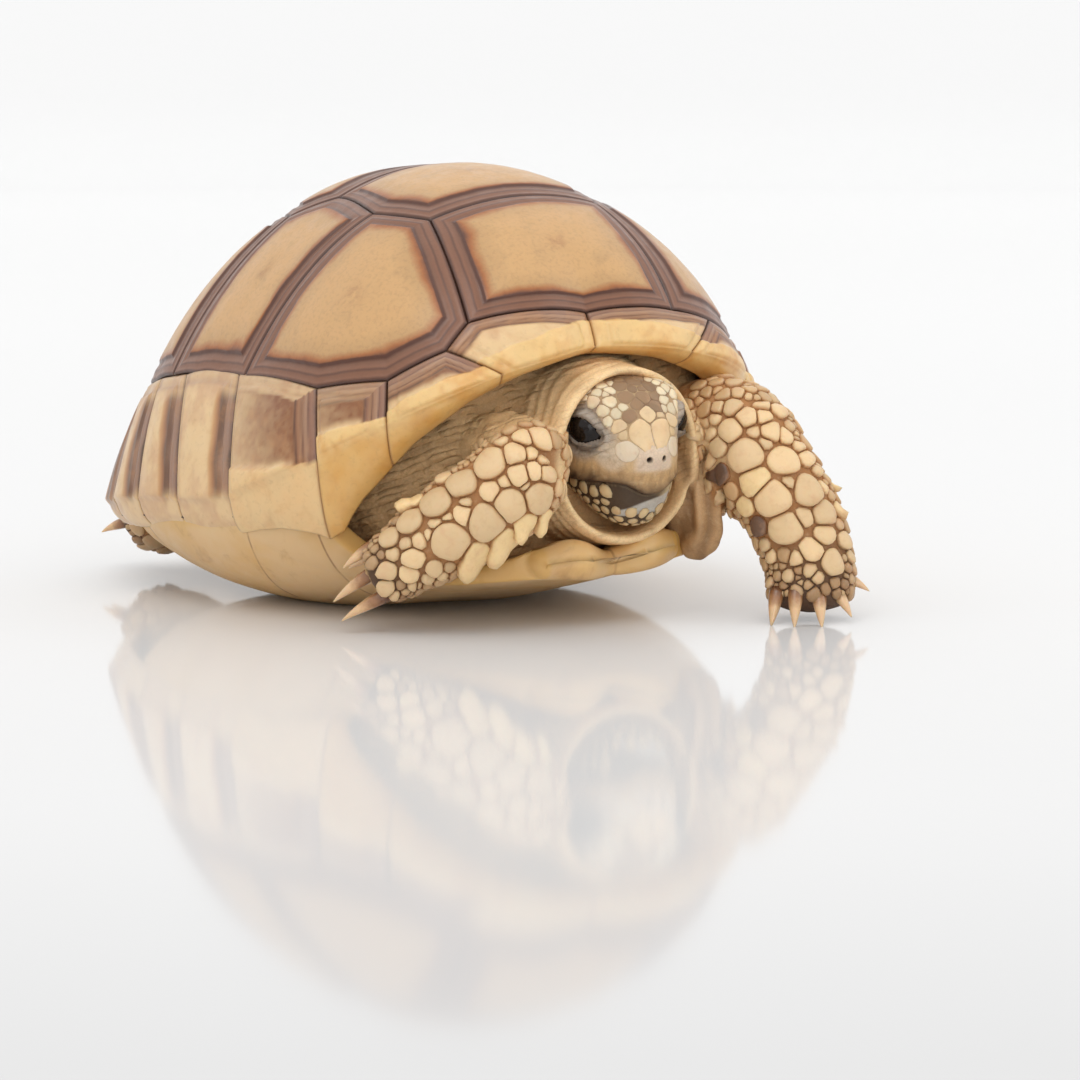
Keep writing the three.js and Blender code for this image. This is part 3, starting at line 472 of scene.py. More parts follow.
    def patches(self, noise: Socket, low: float, high: float, share: object) -> Socket:
        """Turns noise into soft patches that reach a share."""
        return self.math("MULTIPLY", self.span(noise, low, high), share)

    def uneven(self, scale: float, usual: float, less: float, more: float) -> Socket:
        """Varies a roughness round its usual value, in blobs of a metre divided by scale."""
        return self.span(self.noise(scale, 3), 0.3, 0.7, usual - less, usual + more)

    def colour(self, value: object) -> None:
        """Sets the surface's colour."""
        self.put(self.shader.inputs["Base Color"], value)

    def gloss(self, roughness: object, specular: float = 0.5, coat: float = 0.0, coat_roughness: float = 0.2) -> None:
        """Sets how the surface shines."""
        self.put(self.shader.inputs["Roughness"], roughness)
        self.shader.inputs["Specular IOR Level"].default_value = specular
        self.shader.inputs["Coat Weight"].default_value = coat
        self.shader.inputs["Coat Roughness"].default_value = coat_roughness

    def depth(self, weight: float, radius: float) -> None:
        """Lets light soak into the surface by a radius in millimetres, as in horn and skin."""
        self.shader.inputs["Subsurface Weight"].default_value = weight
        self.shader.inputs["Subsurface Radius"].default_value = (radius, radius * 0.5, radius * 0.25)
        self.shader.inputs["Subsurface Scale"].default_value = MM


@dataclass(frozen=True)
class PlateHorn:
    """The horn of the upper shell: pale middle plates inside brown growth rings."""

    seam: tuple = (62, 42, 36)
    ring: tuple = (132, 86, 60)
    ring_line: tuple = (96, 58, 40)
    chestnut: tuple = (84, 44, 25)
    amber: tuple = (164, 98, 46)
    wheat: tuple = (206, 162, 108)
    spot: tuple = (160, 110, 70)
    blotch: tuple = (150, 120, 82)
    streak: tuple = (96, 66, 46)
    roughness: float = 0.36

    def stops(self) -> list:
        """Lists the colours from a plate's seam to its middle as (place, colour)."""
        ring, line, chestnut, wheat = (tone(*c) for c in (self.ring, self.ring_line, self.chestnut, self.wheat))
        return [
            (0.0, tone(*self.seam)), (0.05, line), (0.10, ring), (0.19, ring * 0.92), (0.235, line),
            (0.28, ring), (0.38, ring * 0.82), (0.435, chestnut), (0.475, chestnut * 1.1),
            (0.51, tone(*self.amber)), (0.56, wheat * 0.86), (0.68, wheat), (1.0, wheat),
        ]

    def make(self) -> bpy.types.Material:
        """Builds the material from the values that each plate's points hold."""
        graph = Graph("plate_horn")
        warp = graph.wobble(graph.noise(330, 3), 0.12)
        fine = graph.wobble(graph.noise(1500, 4, 0.65), 0.035)
        place = graph.math("ADD", graph.math("ADD", graph.attribute("growth"), warp), fine)
        rings = graph.ramp(graph.math("MULTIPLY", place, 0.5, clamp=True), self.stops())
        blotch = graph.patches(graph.noise(300, 4, 0.6, 0.6), 0.52, 0.72, graph.span(place, 1.05, 1.3))
        mottled = graph.mix(graph.math("MULTIPLY", blotch, 0.22), rings, tone(*self.blotch))
        spot = graph.patches(graph.noise(900, 3), 0.3, 0.62, graph.attribute("spot"))
        spotted = graph.mix(spot, mottled, tone(*self.spot))
        streak = graph.patches(graph.noise(2600, 2), 0.45, 0.7, 0.12)
        graph.colour(graph.mix(streak, spotted, tone(*self.streak)))
        graph.gloss(graph.uneven(700, self.roughness, 0.06, 0.1), 0.5, 0.25, 0.3)
        graph.depth(0.12, 1.0)
        graph.bump(graph.noise(1900, 5, 0.65), 0.22, 0.00012)
        graph.bump(graph.noise(5200, 3, 0.6), 0.18, 0.00004)
        return graph.material


@dataclass(frozen=True)
class RimHorn:
    """The horn of the marginal plates, whose rings, patches and stripes their points hold."""

    warm: tuple = (196, 140, 86)
    streak: tuple = (120, 82, 54)
    roughness: float = 0.36

    def make(self) -> bpy.types.Material:
        """Builds the material."""
        graph = Graph("rim_horn")
        warm = graph.patches(graph.noise(420, 4, 0.6, 0.5), 0.45, 0.75, 0.3)
        warmed = graph.mix(warm, graph.attribute("tone", colour=True), tone(*self.warm))
        streak = graph.patches(graph.noise(1900, 3, 0.6), 0.52, 0.75, 0.12)
        graph.colour(graph.mix(streak, warmed, tone(*self.streak)))
        graph.gloss(graph.uneven(700, self.roughness, 0.06, 0.1), 0.5, 0.25, 0.3)
        graph.depth(0.15, 1.0)
        graph.bump(graph.noise(1700, 5, 0.62), 0.16, 0.0001)
        return graph.material


@dataclass(frozen=True)
class RimPattern:
    """The markings of the marginal plates.

    A tuple of four numbers holds one for each of the front four plates, which have rings and
    patches. The others are striped. A tuple of stops holds (place, red, green, blue).
    """

    top_width: tuple = (1.5, 1.9, 1.9, 1.9)
    front_width: tuple = (0.8, 2.3, 2.2, 2.5)
    top_strength: tuple = (0.95, 0.95, 0.75, 0.3)
    patch_strength: tuple = (0.3, 1.0, 0.95, 0.95)
    patch_reach: tuple = (1.2, 2.0, 2.0, 2.1)
    patch_fall: tuple = (0.8, 0.55, 0.4, 0.3)
    patch_side_fall: float = 0.62
    edge_front: tuple = (2.6, 1.9, 0.8, -0.3)
    edge_rear: tuple = (2.6, 1.3, 2.0, 2.7)
    straw_lips: int = 3
    stripe: float = 3.6
    rear_stripe: float = 4.8
    rear_from: int = 7
    ring_stops: tuple = (
        (0.0, 66, 46, 40), (0.07, 112, 80, 66), (0.12, 152, 112, 90), (0.3, 142, 100, 78), (0.36, 112, 76, 60),
        (0.42, 168, 128, 100), (0.62, 160, 118, 88), (0.68, 116, 76, 54), (0.76, 164, 120, 86),
        (0.9, 142, 94, 62), (1.0, 86, 48, 28), (1.14, 142, 90, 52),
    )
    stripe_stops: tuple = (
        (0.0, 76, 56, 48), (0.06, 138, 106, 92), (0.3, 148, 112, 94), (0.42, 104, 70, 54), (0.54, 92, 58, 42),
        (0.66, 156, 100, 58), (0.82, 200, 150, 98), (1.0, 228, 194, 144),
    )
    cream: tuple = (228, 194, 144)
    blush: tuple = (214, 174, 130)
    straw: tuple = (236, 198, 134)
    deep_straw: tuple = (220, 168, 98)
    patch: tuple = (136, 84, 46)
    glow: tuple = (212, 156, 70)
    rust: tuple = (190, 130, 66)
    veil: tuple = (168, 128, 102)
    seam: tuple = (70, 48, 40)
    lip_seam: tuple = (164, 116, 70)

    @staticmethod
    def bands(value: np.ndarray, stops: tuple) -> np.ndarray:
        """Colours a value by stops of (place, red, green, blue), blended in between."""
        places = [stop[0] for stop in stops]
        colours = np.array([tone(*stop[1:]) for stop in stops])
        return np.stack([np.interp(value, places, colours[:, k]) for k in range(3)], -1)

    @staticmethod
    def noise(points: np.ndarray, cell: float, seed: int, like: np.ndarray) -> np.ndarray:
        """Draws noise over points, in the shape of another array."""
        return grain(points, cell, seed).reshape(like.shape)

    def above(self, index: int, points: np.ndarray, spans: tuple) -> np.ndarray:
        """Gives how far points of one of the front four plates lie above the edge of its pale lip."""
        to_front, to_rear, down, past_rim = spans
        share = to_front / np.maximum(to_front + to_rear, 1e-6)
        height = lerp(self.edge_front[index], self.edge_rear[index], share)
        wander = self.noise(points, 1.6, 60 + index, down)
        return -(past_rim + height + 0.22 * wander + 0.08 * self.noise(points, 0.5, 95 + index, down))

    def paint(self, index: int, points: np.ndarray, spans: tuple) -> np.ndarray:
        """Colours one marginal plate.

        Args:
            index: Its number from the front.
            points: Its points in the shell's own frame.
            spans: Distances to the front seam and the rear seam, down from the top seam and past the rim.

        Returns:
            One linear colour for each point.
        """
        to_front, to_rear, down, _ = spans
        wander = self.noise(points, 2.2, 60 + index, down)
        fine = self.noise(points, 0.6, 90 + index, down)
        base = tinted(tone(*self.cream), tone(*self.blush), smooth(wander + 0.5 * fine, -0.4, 0.9))
        if index < len(self.top_width):
            base, edge = self.ringed(index, points, spans, base, (wander, fine))
        else:
            base, edge = self.striped(index, spans, base, (wander, fine))
        seam = np.exp(-((np.minimum(np.minimum(to_front, to_rear), down) / 0.14) ** 1.4))
        return tinted(base, tinted(tone(*self.seam), tone(*self.lip_seam), edge), 0.85 * seam)

    def ringed(self, index: int, points: np.ndarray, spans: tuple, base: np.ndarray, noises: tuple) -> tuple:
        """Adds the rings, the dark patch and the pale lip of a front plate.

        Args:
            index: The plate's number.
            points: Its points.
            spans: Its distances, as for paint.
            base: Its colours so far.
            noises: Coarse and fine noise over it.

        Returns:
            The colours, and for each point how far it is on the lip.
        """
        to_front, _, down, past_rim = spans
        wander, fine = noises
        speck = smooth(self.noise(points, 0.35, 120 + index, down) + 0.3 * wander, 0.15, 0.6)
        above = self.above(index, points, spans)
        top = (down + 0.15 * wander) / self.top_width[index]
        front = (to_front + 0.15 * wander) / self.front_width[index]
        ring = np.minimum(top, front)
        strength = np.where(top < front, self.top_strength[index], 1.0)
        base = tinted(base, self.bands(ring, self.ring_stops), smooth(ring, 1.3, 0.98) * strength)
        away = np.hypot((top - 1.0) * self.patch_fall[index], (front - 1.0) * self.patch_side_fall)
        patch = np.exp(-((away / self.patch_reach[index]) ** 2)) * smooth(ring, 1.0, 1.12) * smooth(above, -0.1, 0.9)
        patch = patch * (1.05 + 0.14 * fine + 0.12 * speck) * self.patch_strength[index]
        base = tinted(base, tone(*self.patch), np.clip(patch, 0, 1))
        straw = tinted(tone(*self.straw), tone(*self.deep_straw), smooth(wander + 0.4 * fine, -0.2, 0.9))
        lip = straw if index < self.straw_lips else lerp(tone(*self.cream), straw, 0.3)
        edge = smooth(-above, -0.06, 0.12)
        base = tinted(base, lip * (1 + 0.06 * wander + 0.03 * fine)[..., None], edge)
        glow = smooth(past_rim + 0.3 * wander, -0.4, 1.4) * (index < self.straw_lips)
        base = tinted(base, tone(*self.glow), 0.5 * glow)
        rusty = smooth(np.abs(above + 0.05), 0.22, 0.0) * 0.35 * smooth(wander, -0.4, 0.3)
        return tinted(base, tone(*self.rust), rusty), edge

    def striped(self, index: int, spans: tuple, base: np.ndarray, noises: tuple) -> tuple:
        """Adds the dark stripe and the paler veil of a side or rear plate.

        Args:
            index: The plate's number.
            spans: Its distances, as for paint.
            base: Its colours so far.
            noises: Coarse and fine noise over it.

        Returns:
            The colours, and for each point how far it is past the rim.
        """
        to_front, to_rear, down, past_rim = spans
        wander, fine = noises
        across = (to_front + 0.3 * wander) / (self.rear_stripe if index >= self.rear_from else self.stripe)
        ends = smooth(down, 1.2, 3.4) * smooth(-past_rim + 0.8 * wander + 0.3 * fine, -1.0, 1.4)
        show = 0.92 * ends * smooth(across, 1.0, 0.8)
        base = tinted(base, self.bands(across, self.stripe_stops), show)
        line = np.exp(-(((down - 1.5) / 0.3) ** 2)) + np.exp(-(((to_rear - 0.8) / 0.3) ** 2))
        veil = 0.35 * smooth(down, 3.2, 0.6) + 0.4 * line * smooth(-past_rim, -0.5, 1.5)
        return tinted(base, tone(*self.veil), np.clip(veil, 0, 1)), smooth(past_rim, -1.0, 1.0)


@dataclass(frozen=True)
class BellySeams:
    """The belly plate's seams: where each crosses its middle, and how it bends and waves."""

    at: tuple = (-24.5, -11.3, 0.0, 8.5, 17.5)
    bows: tuple = (-1.0, 0.49, 0.56, -0.12, -0.12)
    bow_rate: float = 0.02
    wave: float = 0.3
    wave_length: float = 2.7
    sway: float = 0.25
    sway_length: float = 3.1
    front_half: float = 12.0

    def distance(self, x: np.ndarray, y: float) -> np.ndarray:
        """Gives how far places across the belly are from the nearest seam."""
        nearest = np.abs(x - self.sway * np.sin(y / self.sway_length))
        for at, bow in zip(self.at, self.bows):
            bent = self.bow_rate * x**2 * bow
            nearest = np.minimum(nearest, np.abs(y - at + bent + self.wave * np.sin(x / self.wave_length)))
        return nearest

    def drawn(self, graph: Graph) -> Socket:
        """Measures the same distance in a material. The front seam ends at front_half."""
        x, y = graph.attribute("belly_x"), graph.attribute("belly_y")
        square = graph.math("MULTIPLY", graph.math("MULTIPLY", x, x), self.bow_rate)
        swing = graph.math("SINE", graph.math("DIVIDE", x, self.wave_length))
        wave = graph.math("ADD", y, graph.math("MULTIPLY", swing, self.wave))
        swing = graph.math("SINE", graph.math("DIVIDE", y, self.sway_length))
        sway = graph.math("MULTIPLY", swing, self.sway)
        nearest = graph.math("ABSOLUTE", graph.math("SUBTRACT", x, sway))
        past_front = graph.math("SUBTRACT", graph.math("ABSOLUTE", x), self.front_half)
        for number, (at, bow) in enumerate(zip(self.at, self.bows)):
            away = graph.math("SUBTRACT", graph.math("ADD", wave, graph.math("MULTIPLY", square, bow)), at)
            away = graph.math("ABSOLUTE", away)
            if number == 0:
                away = graph.math("MAXIMUM", away, past_front)
            nearest = graph.math("MINIMUM", nearest, away)
        return nearest


@dataclass(frozen=True)
class BellyHorn:
    """The horn of the lower shell: pale cream with faint brown seams."""

    cream: tuple = (224, 188, 138)
    straw: tuple = (218, 176, 112)
    stain: tuple = (170, 120, 70)
    seam: tuple = (150, 102, 60)
    edge: tuple = (222, 174, 88)
    roughness: float = 0.38

    def make(self, seams: BellySeams) -> bpy.types.Material:
        """Builds the material, which reads the belly's own places from its points."""
        graph = Graph("belly_horn")
        base = graph.mix(graph.span(graph.noise(120, 3), 0.35, 0.65), tone(*self.cream), tone(*self.straw))
        smudge = graph.patches(graph.noise(260, 5, 0.62, 0.8), 0.55, 0.78, 0.5)
        smudged = graph.mix(smudge, base, tone(*self.stain))
        broken = graph.span(graph.noise(400, 3), 0.3, 0.6, 0.3, 0.75)
        seam = graph.math("MULTIPLY", graph.span(seams.drawn(graph), 0.04, 0.2, 1.0, 0.0), broken)
        lined = graph.mix(seam, smudged, tone(*self.seam))
        graph.colour(graph.mix(graph.math("MULTIPLY", graph.attribute("rolled"), 0.6), lined, tone(*self.edge)))
        graph.gloss(graph.uneven(600, self.roughness, 0.05, 0.1), 0.5, 0.15, 0.3)
        graph.depth(0.2, 1.2)
        graph.bump(graph.noise(1500, 5, 0.6), 0.2, 0.0001)
        return graph.material


@dataclass(frozen=True)
class ShellBed:
    """The dark bed under the plates, which shows in their seams, and the shell's inside."""

    dark: tuple = (44, 31, 27)
    brown: tuple = (70, 50, 40)

    def make(self) -> bpy.types.Material:
        """Builds the material."""
        graph = Graph("shell_bed")
        graph.colour(graph.mix(graph.noise(500, 3), tone(*self.dark), tone(*self.brown)))
        graph.gloss(0.6, 0.3)
        graph.bump(graph.noise(1800, 3), 0.3, 0.0001)
        return graph.material


@dataclass(frozen=True)
class SoftSkin:
    """Wrinkled skin, whose colour differs from part to part, with painted shade in its creases."""

    dirt: tuple = (142, 104, 68)
    light: tuple = (226, 198, 156)
    crack: tuple = (92, 68, 48)
    crease_shade: tuple = (104, 70, 40)
    roughness: float = 0.62
    cell_scale: float = 2600
    crease_way: tuple = (0.21, -0.27, -0.94)
    crease_spacing: float = 0.0007
    crease_wander: float = 0.9

    def make(self) -> bpy.types.Material:
        """Builds the material from the colour that each point of the skin holds."""
        graph = Graph("soft_skin")
        base = graph.attribute("tone", colour=True)
        bright = graph.span(base, 0.03, 0.22, 0.0, 0.3)
        dirt = graph.patches(graph.noise(900, 5, 0.65, 0.5), 0.45, 0.75, bright)
        dirty = graph.mix(dirt, base, tone(*self.dirt))
        light = graph.patches(graph.noise(1500, 3, 0.6), 0.5, 0.8, bright)
        lit = graph.mix(light, dirty, tone(*self.light))
        crack = graph.math("MULTIPLY", graph.span(graph.cells(self.cell_scale), 0.0, 0.12, 1.0, 0.0), 0.12)
        cracked = graph.mix(crack, lit, tone(*self.crack))
        crease = graph.creases(self.crease_way, self.crease_spacing, self.crease_wander)
        patchy = graph.span(graph.noise(520, 3), 0.38, 0.62, 0.1, 1.0)
        folded = graph.math("MULTIPLY", graph.attribute("wrinkle"), patchy)
        # Painted shade: the troughs of the creases are darkened in colour, where the wrinkle mask allows.
        deep = graph.math("MULTIPLY", graph.span(crease, 0.0, 0.5, 1.0, 0.0), graph.math("MULTIPLY", folded, 0.26))
        graph.colour(graph.mix(deep, cracked, tone(*self.crease_shade)))
        graph.gloss(graph.uneven(1200, self.roughness, 0.1, 0.08), 0.4)
        graph.bump(graph.math("MULTIPLY", graph.math("POWER", crease, 0.6), folded), 0.9, 0.00025)
        graph.depth(0.15, 0.8)
        graph.bump(graph.noise(2400, 5, 0.65), 0.5, 0.00012)
        graph.bump(graph.cells(self.cell_scale), 0.18, 0.0001)
        return graph.material


@dataclass(frozen=True)
class HornScale:
    """The horny scales of the legs and the head, pale on their tops and brown at their roots."""

    rose: tuple = (214, 164, 124)
    dirt: tuple = (158, 104, 62)
    roughness: float = 0.42

    def make(self) -> bpy.types.Material:
        """Builds the material from the colour and the height that each point holds."""
        graph = Graph("horn_scale")
        low = graph.span(graph.attribute("top"), 0.9, 0.3, 0.12, 0.6)
        dirt = graph.patches(graph.noise(1400, 5, 0.65, 0.4), 0.48, 0.74, low)
        rosy = graph.patches(graph.noise(650, 3), 0.5, 0.75, 0.35)
        tinged = graph.mix(rosy, graph.attribute("tone", colour=True), tone(*self.rose))
        graph.colour(graph.mix(dirt, tinged, tone(*self.dirt)))
        graph.gloss(graph.uneven(1500, self.roughness, 0.06, 0.1), 0.5)
        graph.depth(0.2, 0.9)
        graph.bump(graph.noise(3200, 4, 0.6), 0.35, 0.00008)
        return graph.material


@dataclass(frozen=True)
class ClawHorn:
    """The claws: translucent horn, brown at the root and pale at the point."""

    stops: tuple = ((0.0, 96, 60, 40), (0.3, 160, 114, 76), (0.55, 222, 186, 142), (1.0, 214, 180, 142))

    def make(self) -> bpy.types.Material:
        """Builds the material from each point's share of the way to the tip."""
        graph = Graph("claw_horn")
        streaks = graph.wobble(graph.noise(1300, 3, 0.6), 0.3)
        place = graph.math("ADD", graph.attribute("along"), streaks, clamp=True)
        graph.colour(graph.ramp(place, [(stop[0], tone(*stop[1:])) for stop in self.stops]))
        graph.gloss(0.28, 0.5, 0.4, 0.2)
        graph.depth(0.35, 1.0)
        graph.bump(graph.noise(2400, 3), 0.15, 0.00006)
        return graph.material


@dataclass(frozen=True)
class EyeGlass:
    """The wet, near-black eye."""

    black: tuple = (10, 8, 7)
    brown: tuple = (30, 21, 16)

    def make(self) -> bpy.types.Material:
        """Builds the material."""
        graph = Graph("eye_glass")
        graph.colour(graph.mix(graph.noise(900, 2), tone(*self.black), tone(*self.brown)))
        graph.gloss(0.05, 0.22, 0.12, 0.03)
        return graph.material


@dataclass(frozen=True)
class PaleFloor:
    """A smooth white floor that mirrors a little, with painted shade that makes it darker towards the camera and
    whiter further away.
    """

    ahead: tuple = (0.5418, 0.8405, 0.0)
    near: float = -0.2
    far: float = 0.8
    # Painted shade: the floor's grey from near the camera to far away.
    painted_shade_greys: tuple = (
        (0.0, 0.64), (0.05, 0.7), (0.085, 0.75), (0.165, 0.81), (0.335, 0.865), (0.63, 0.925), (1.0, 0.955),
    )

    def make(self) -> bpy.types.Material:
        """Builds the material."""
        graph = Graph("pale_floor")
        away = graph.span(graph.across(self.ahead), self.near, self.far)
        away.node.interpolation_type = "LINEAR"
        # Painted shade: the floor's colour falls from the far whites to darker greys near the camera.
        graph.colour(graph.ramp(away, [(place, np.full(3, grey)) for place, grey in self.painted_shade_greys]))
        graph.gloss(0.07, 0.1)
        return graph.material


# ---------- the upper shell ----------


@dataclass(frozen=True)
class ShellForm:
    """The dome of the upper shell. Three numbers in a field are for the front, side and rear."""

    length: float = 65.0
    width: float = 60.3
    height: float = 44.8
    crown_y: float = -2.5
    squareness: float = 2.74
    rear_widening: float = 0.077
    notch_depth: float = 0.042
    notch_angle: float = 0.14
    rim_height: tuple = (27.6, 13.4, 7.1)
    flare: tuple = (12.7, 12.1, 26.8)
    crown_pull: tuple = (0.65, 0.56, 0.58)
    rim_pull: tuple = (0.371, 0.437, 0.425)
    tooth: tuple = (0.012, 0.0, 0.03)
    lip_turns: tuple = (0, 15, 25, 35, 42, 45, 47, 49, 52, 54, 57, 62, 68, 76, 90, 112, 130, 150, 180)
    lip_widths: tuple = (
        2.2, 2.2, 2.3, 2.4, 2.5, 2.4, 2.3, 2.2, 2.0, 1.6, 1.35, 1.25, 1.2, 1.3, 1.35, 1.6, 2.1, 2.6, 2.6,
    )
    lip_drops: tuple = (
        0.9, 1.1, 1.7, 3.2, 5.3, 6.1, 7.0, 8.2, 8.4, 7.4, 6.4, 5.1, 4.3, 3.8, 3.4, 3.2, 2.4, 1.6, 1.4,
    )
    pitch: float = -0.8
    roll: float = -3.2
    lift: float = -0.7
    rim_seams: tuple = (0, 19.5, 39.1, 52.1, 74.2, 92.1, 107, 120, 132, 144, 156, 168.5)
    ring_seams: tuple = (
        (0, 0.84), (28.6, 0.83), (39.1, 0.857), (53.7, 0.8), (80.4, 0.706), (101.8, 0.709),
        (114, 0.715), (126, 0.725), (137, 0.735), (148, 0.745), (158, 0.75), (168.5, 0.75), (180, 0.75),
    )

    def tilt(self, points: np.ndarray) -> np.ndarray:
        """Turns points from the shell's own frame into the world."""
        spin = turned(x=self.pitch) @ turned(y=self.roll)
        return points @ spin.T + np.array([0.0, 0.0, self.lift])

    @staticmethod
    def around(value: tuple, angle: np.ndarray) -> np.ndarray:
        """Blends a front, side and rear value by the angle from the front."""
        c = np.cos(angle)
        end = np.where(c > 0, value[0], value[2])
        return value[1] + (end - value[1]) * c * c

    def lip(self, angle: np.ndarray) -> tuple:
        """Gives how far the rim's lip drops and how far it reaches inwards."""
        turn = np.degrees(angle)
        return np.interp(turn, self.lip_turns, self.lip_drops), np.interp(turn, self.lip_turns, self.lip_widths)

    def bulge(self, angle: np.ndarray) -> np.ndarray:
        """Gives how far the rim bulges between the seams of its plates."""
        turn = np.degrees(angle)
        seams = np.array([*self.rim_seams, 360 - self.rim_seams[-1]])
        low = np.clip(np.searchsorted(seams, turn, "right") - 1, 0, len(seams) - 2)
        share = (turn - seams[low]) / (seams[low + 1] - seams[low])
        return self.around(self.tooth, angle) * (np.sin(np.pi * share) - 0.3)

    def rim(self, angle: np.ndarray, side: np.ndarray, detail: np.ndarray = 1.0) -> np.ndarray:
        """Gives rim points for angles from the front.

        Args:
            angle: Turns from the front in radians.
            side: The sign of the side that each point is on.
            detail: How much of the rim's teeth and notch to keep.

        Returns:
            The points, one row each.
        """
        across = np.maximum(np.sin(angle), 1e-6)
        back = -np.cos(angle)
        half_width = self.width / 2 * (1 + self.rear_widening * back)
        power = self.squareness
        oval = (np.abs(across / half_width) ** power + np.abs(2 * back / self.length) ** power) ** (-1 / power)
        notch = 1 - detail * self.notch_depth * np.exp(-((angle / self.notch_angle) ** 2))
        reach = oval * notch * (1 + detail * self.bulge(angle))
        return np.stack([side * reach * across, reach * back, self.around(self.rim_height, angle)], -1)

    def dome(self, disk: np.ndarray) -> np.ndarray:
        """Gives dome points for disk places: the crown is (0, 0) and the front rim (0, -1)."""
        share = np.maximum(np.hypot(disk[:, 0], disk[:, 1]), 1e-6)
        signed = np.arctan2(disk[:, 0], -disk[:, 1])
        angle = np.abs(signed)
        rim = self.rim(angle, np.where(signed < 0, -1.0, 1.0), smooth(share, 0.45, 0.9))
        crown = np.array([0.0, self.crown_y, self.height])
        out = np.stack([rim[:, 0], rim[:, 1] - self.crown_y, np.zeros(len(rim))], -1)
        flare = np.radians(self.around(self.flare, angle))
        pull = self.around(self.rim_pull, angle) * (self.height - rim[:, 2])
        first = crown + out * self.around(self.crown_pull, angle)[:, None]
        second = rim - unit(out) * (np.sin(flare) * pull)[:, None]
        second[:, 2] += np.cos(flare) * pull
        t = share[:, None]
        s = 1 - t
        return crown * s**3 + first * (3 * s * s * t) + second * (3 * s * t * t) + rim * t**3

    def normal(self, disk: np.ndarray) -> np.ndarray:
        """Gives the dome's outward normals at disk places."""
        step = 0.004
        along_a = self.dome(disk + [step, 0]) - self.dome(disk - [step, 0])
        along_b = self.dome(disk + [0, step]) - self.dome(disk - [0, step])
        normal = unit(np.cross(along_a, along_b))
        out = self.dome(disk) - np.array([0, 0, self.height / 3])
        return normal * np.where((normal * out).sum(1) < 0, -1.0, 1.0)[:, None]

    @staticmethod
    def on_disk(turn: float, share: float, side: int) -> np.ndarray:
        """Gives the disk place for degrees from the front and a share of the way to the rim."""
        return np.array([side * math.sin(math.radians(turn)) * share, -math.cos(math.radians(turn)) * share])

    def ring_share(self, turn: float) -> float:
        """Gives the share at which the marginal plates begin."""
        turns, shares = zip(*self.ring_seams)
        return float(np.interp(turn, turns, shares))


@dataclass(frozen=True)
class PlateRelief:
    """The relief of a plate: its seam, its growth rings and its middle."""

    seam_depth: float = 0.3
    seam_width: float = 0.16
    ring_height: float = 0.035
    rings: float = 2.0
    step: float = 0.2
    crown: float = 0.14
    root: float = 1.0

    def height(self, distance: np.ndarray, growth: np.ndarray, inner: np.ndarray) -> np.ndarray:
        """Gives the relief above the dome.

        Args:
            distance: Millimetres from the seam.
            growth: 0 at the seam and 1 at the edge of the middle.
            inner: 0 at the edge of the middle and 1 at its centre.

        Returns:
            The heights in millimetres.
        """
        seam = -self.seam_depth * np.exp(-((distance / self.seam_width) ** 1.2))
        wave = self.ring_height * np.cos(2 * np.pi * self.rings * growth) * smooth(growth, 0.08, 0.2)
        wave *= 1 - smooth(growth, 0.9, 1.0)
        step = self.step * smooth(growth, 0.86, 1.0)
        return seam + wave + step + self.crown * (1 - (1 - inner) ** 2)


class RingWidths(Enum):
    """How wide the growth rings of a plate are: to the front, the rear, outwards and inwards."""

    FIRST = (1.5, 2.3, 2.3, 2.3)
    VERTEBRAL = (2.4, 1.8, 2.2, 2.2)
    COSTAL = (2.3, 2.1, 2.5, 2.1)


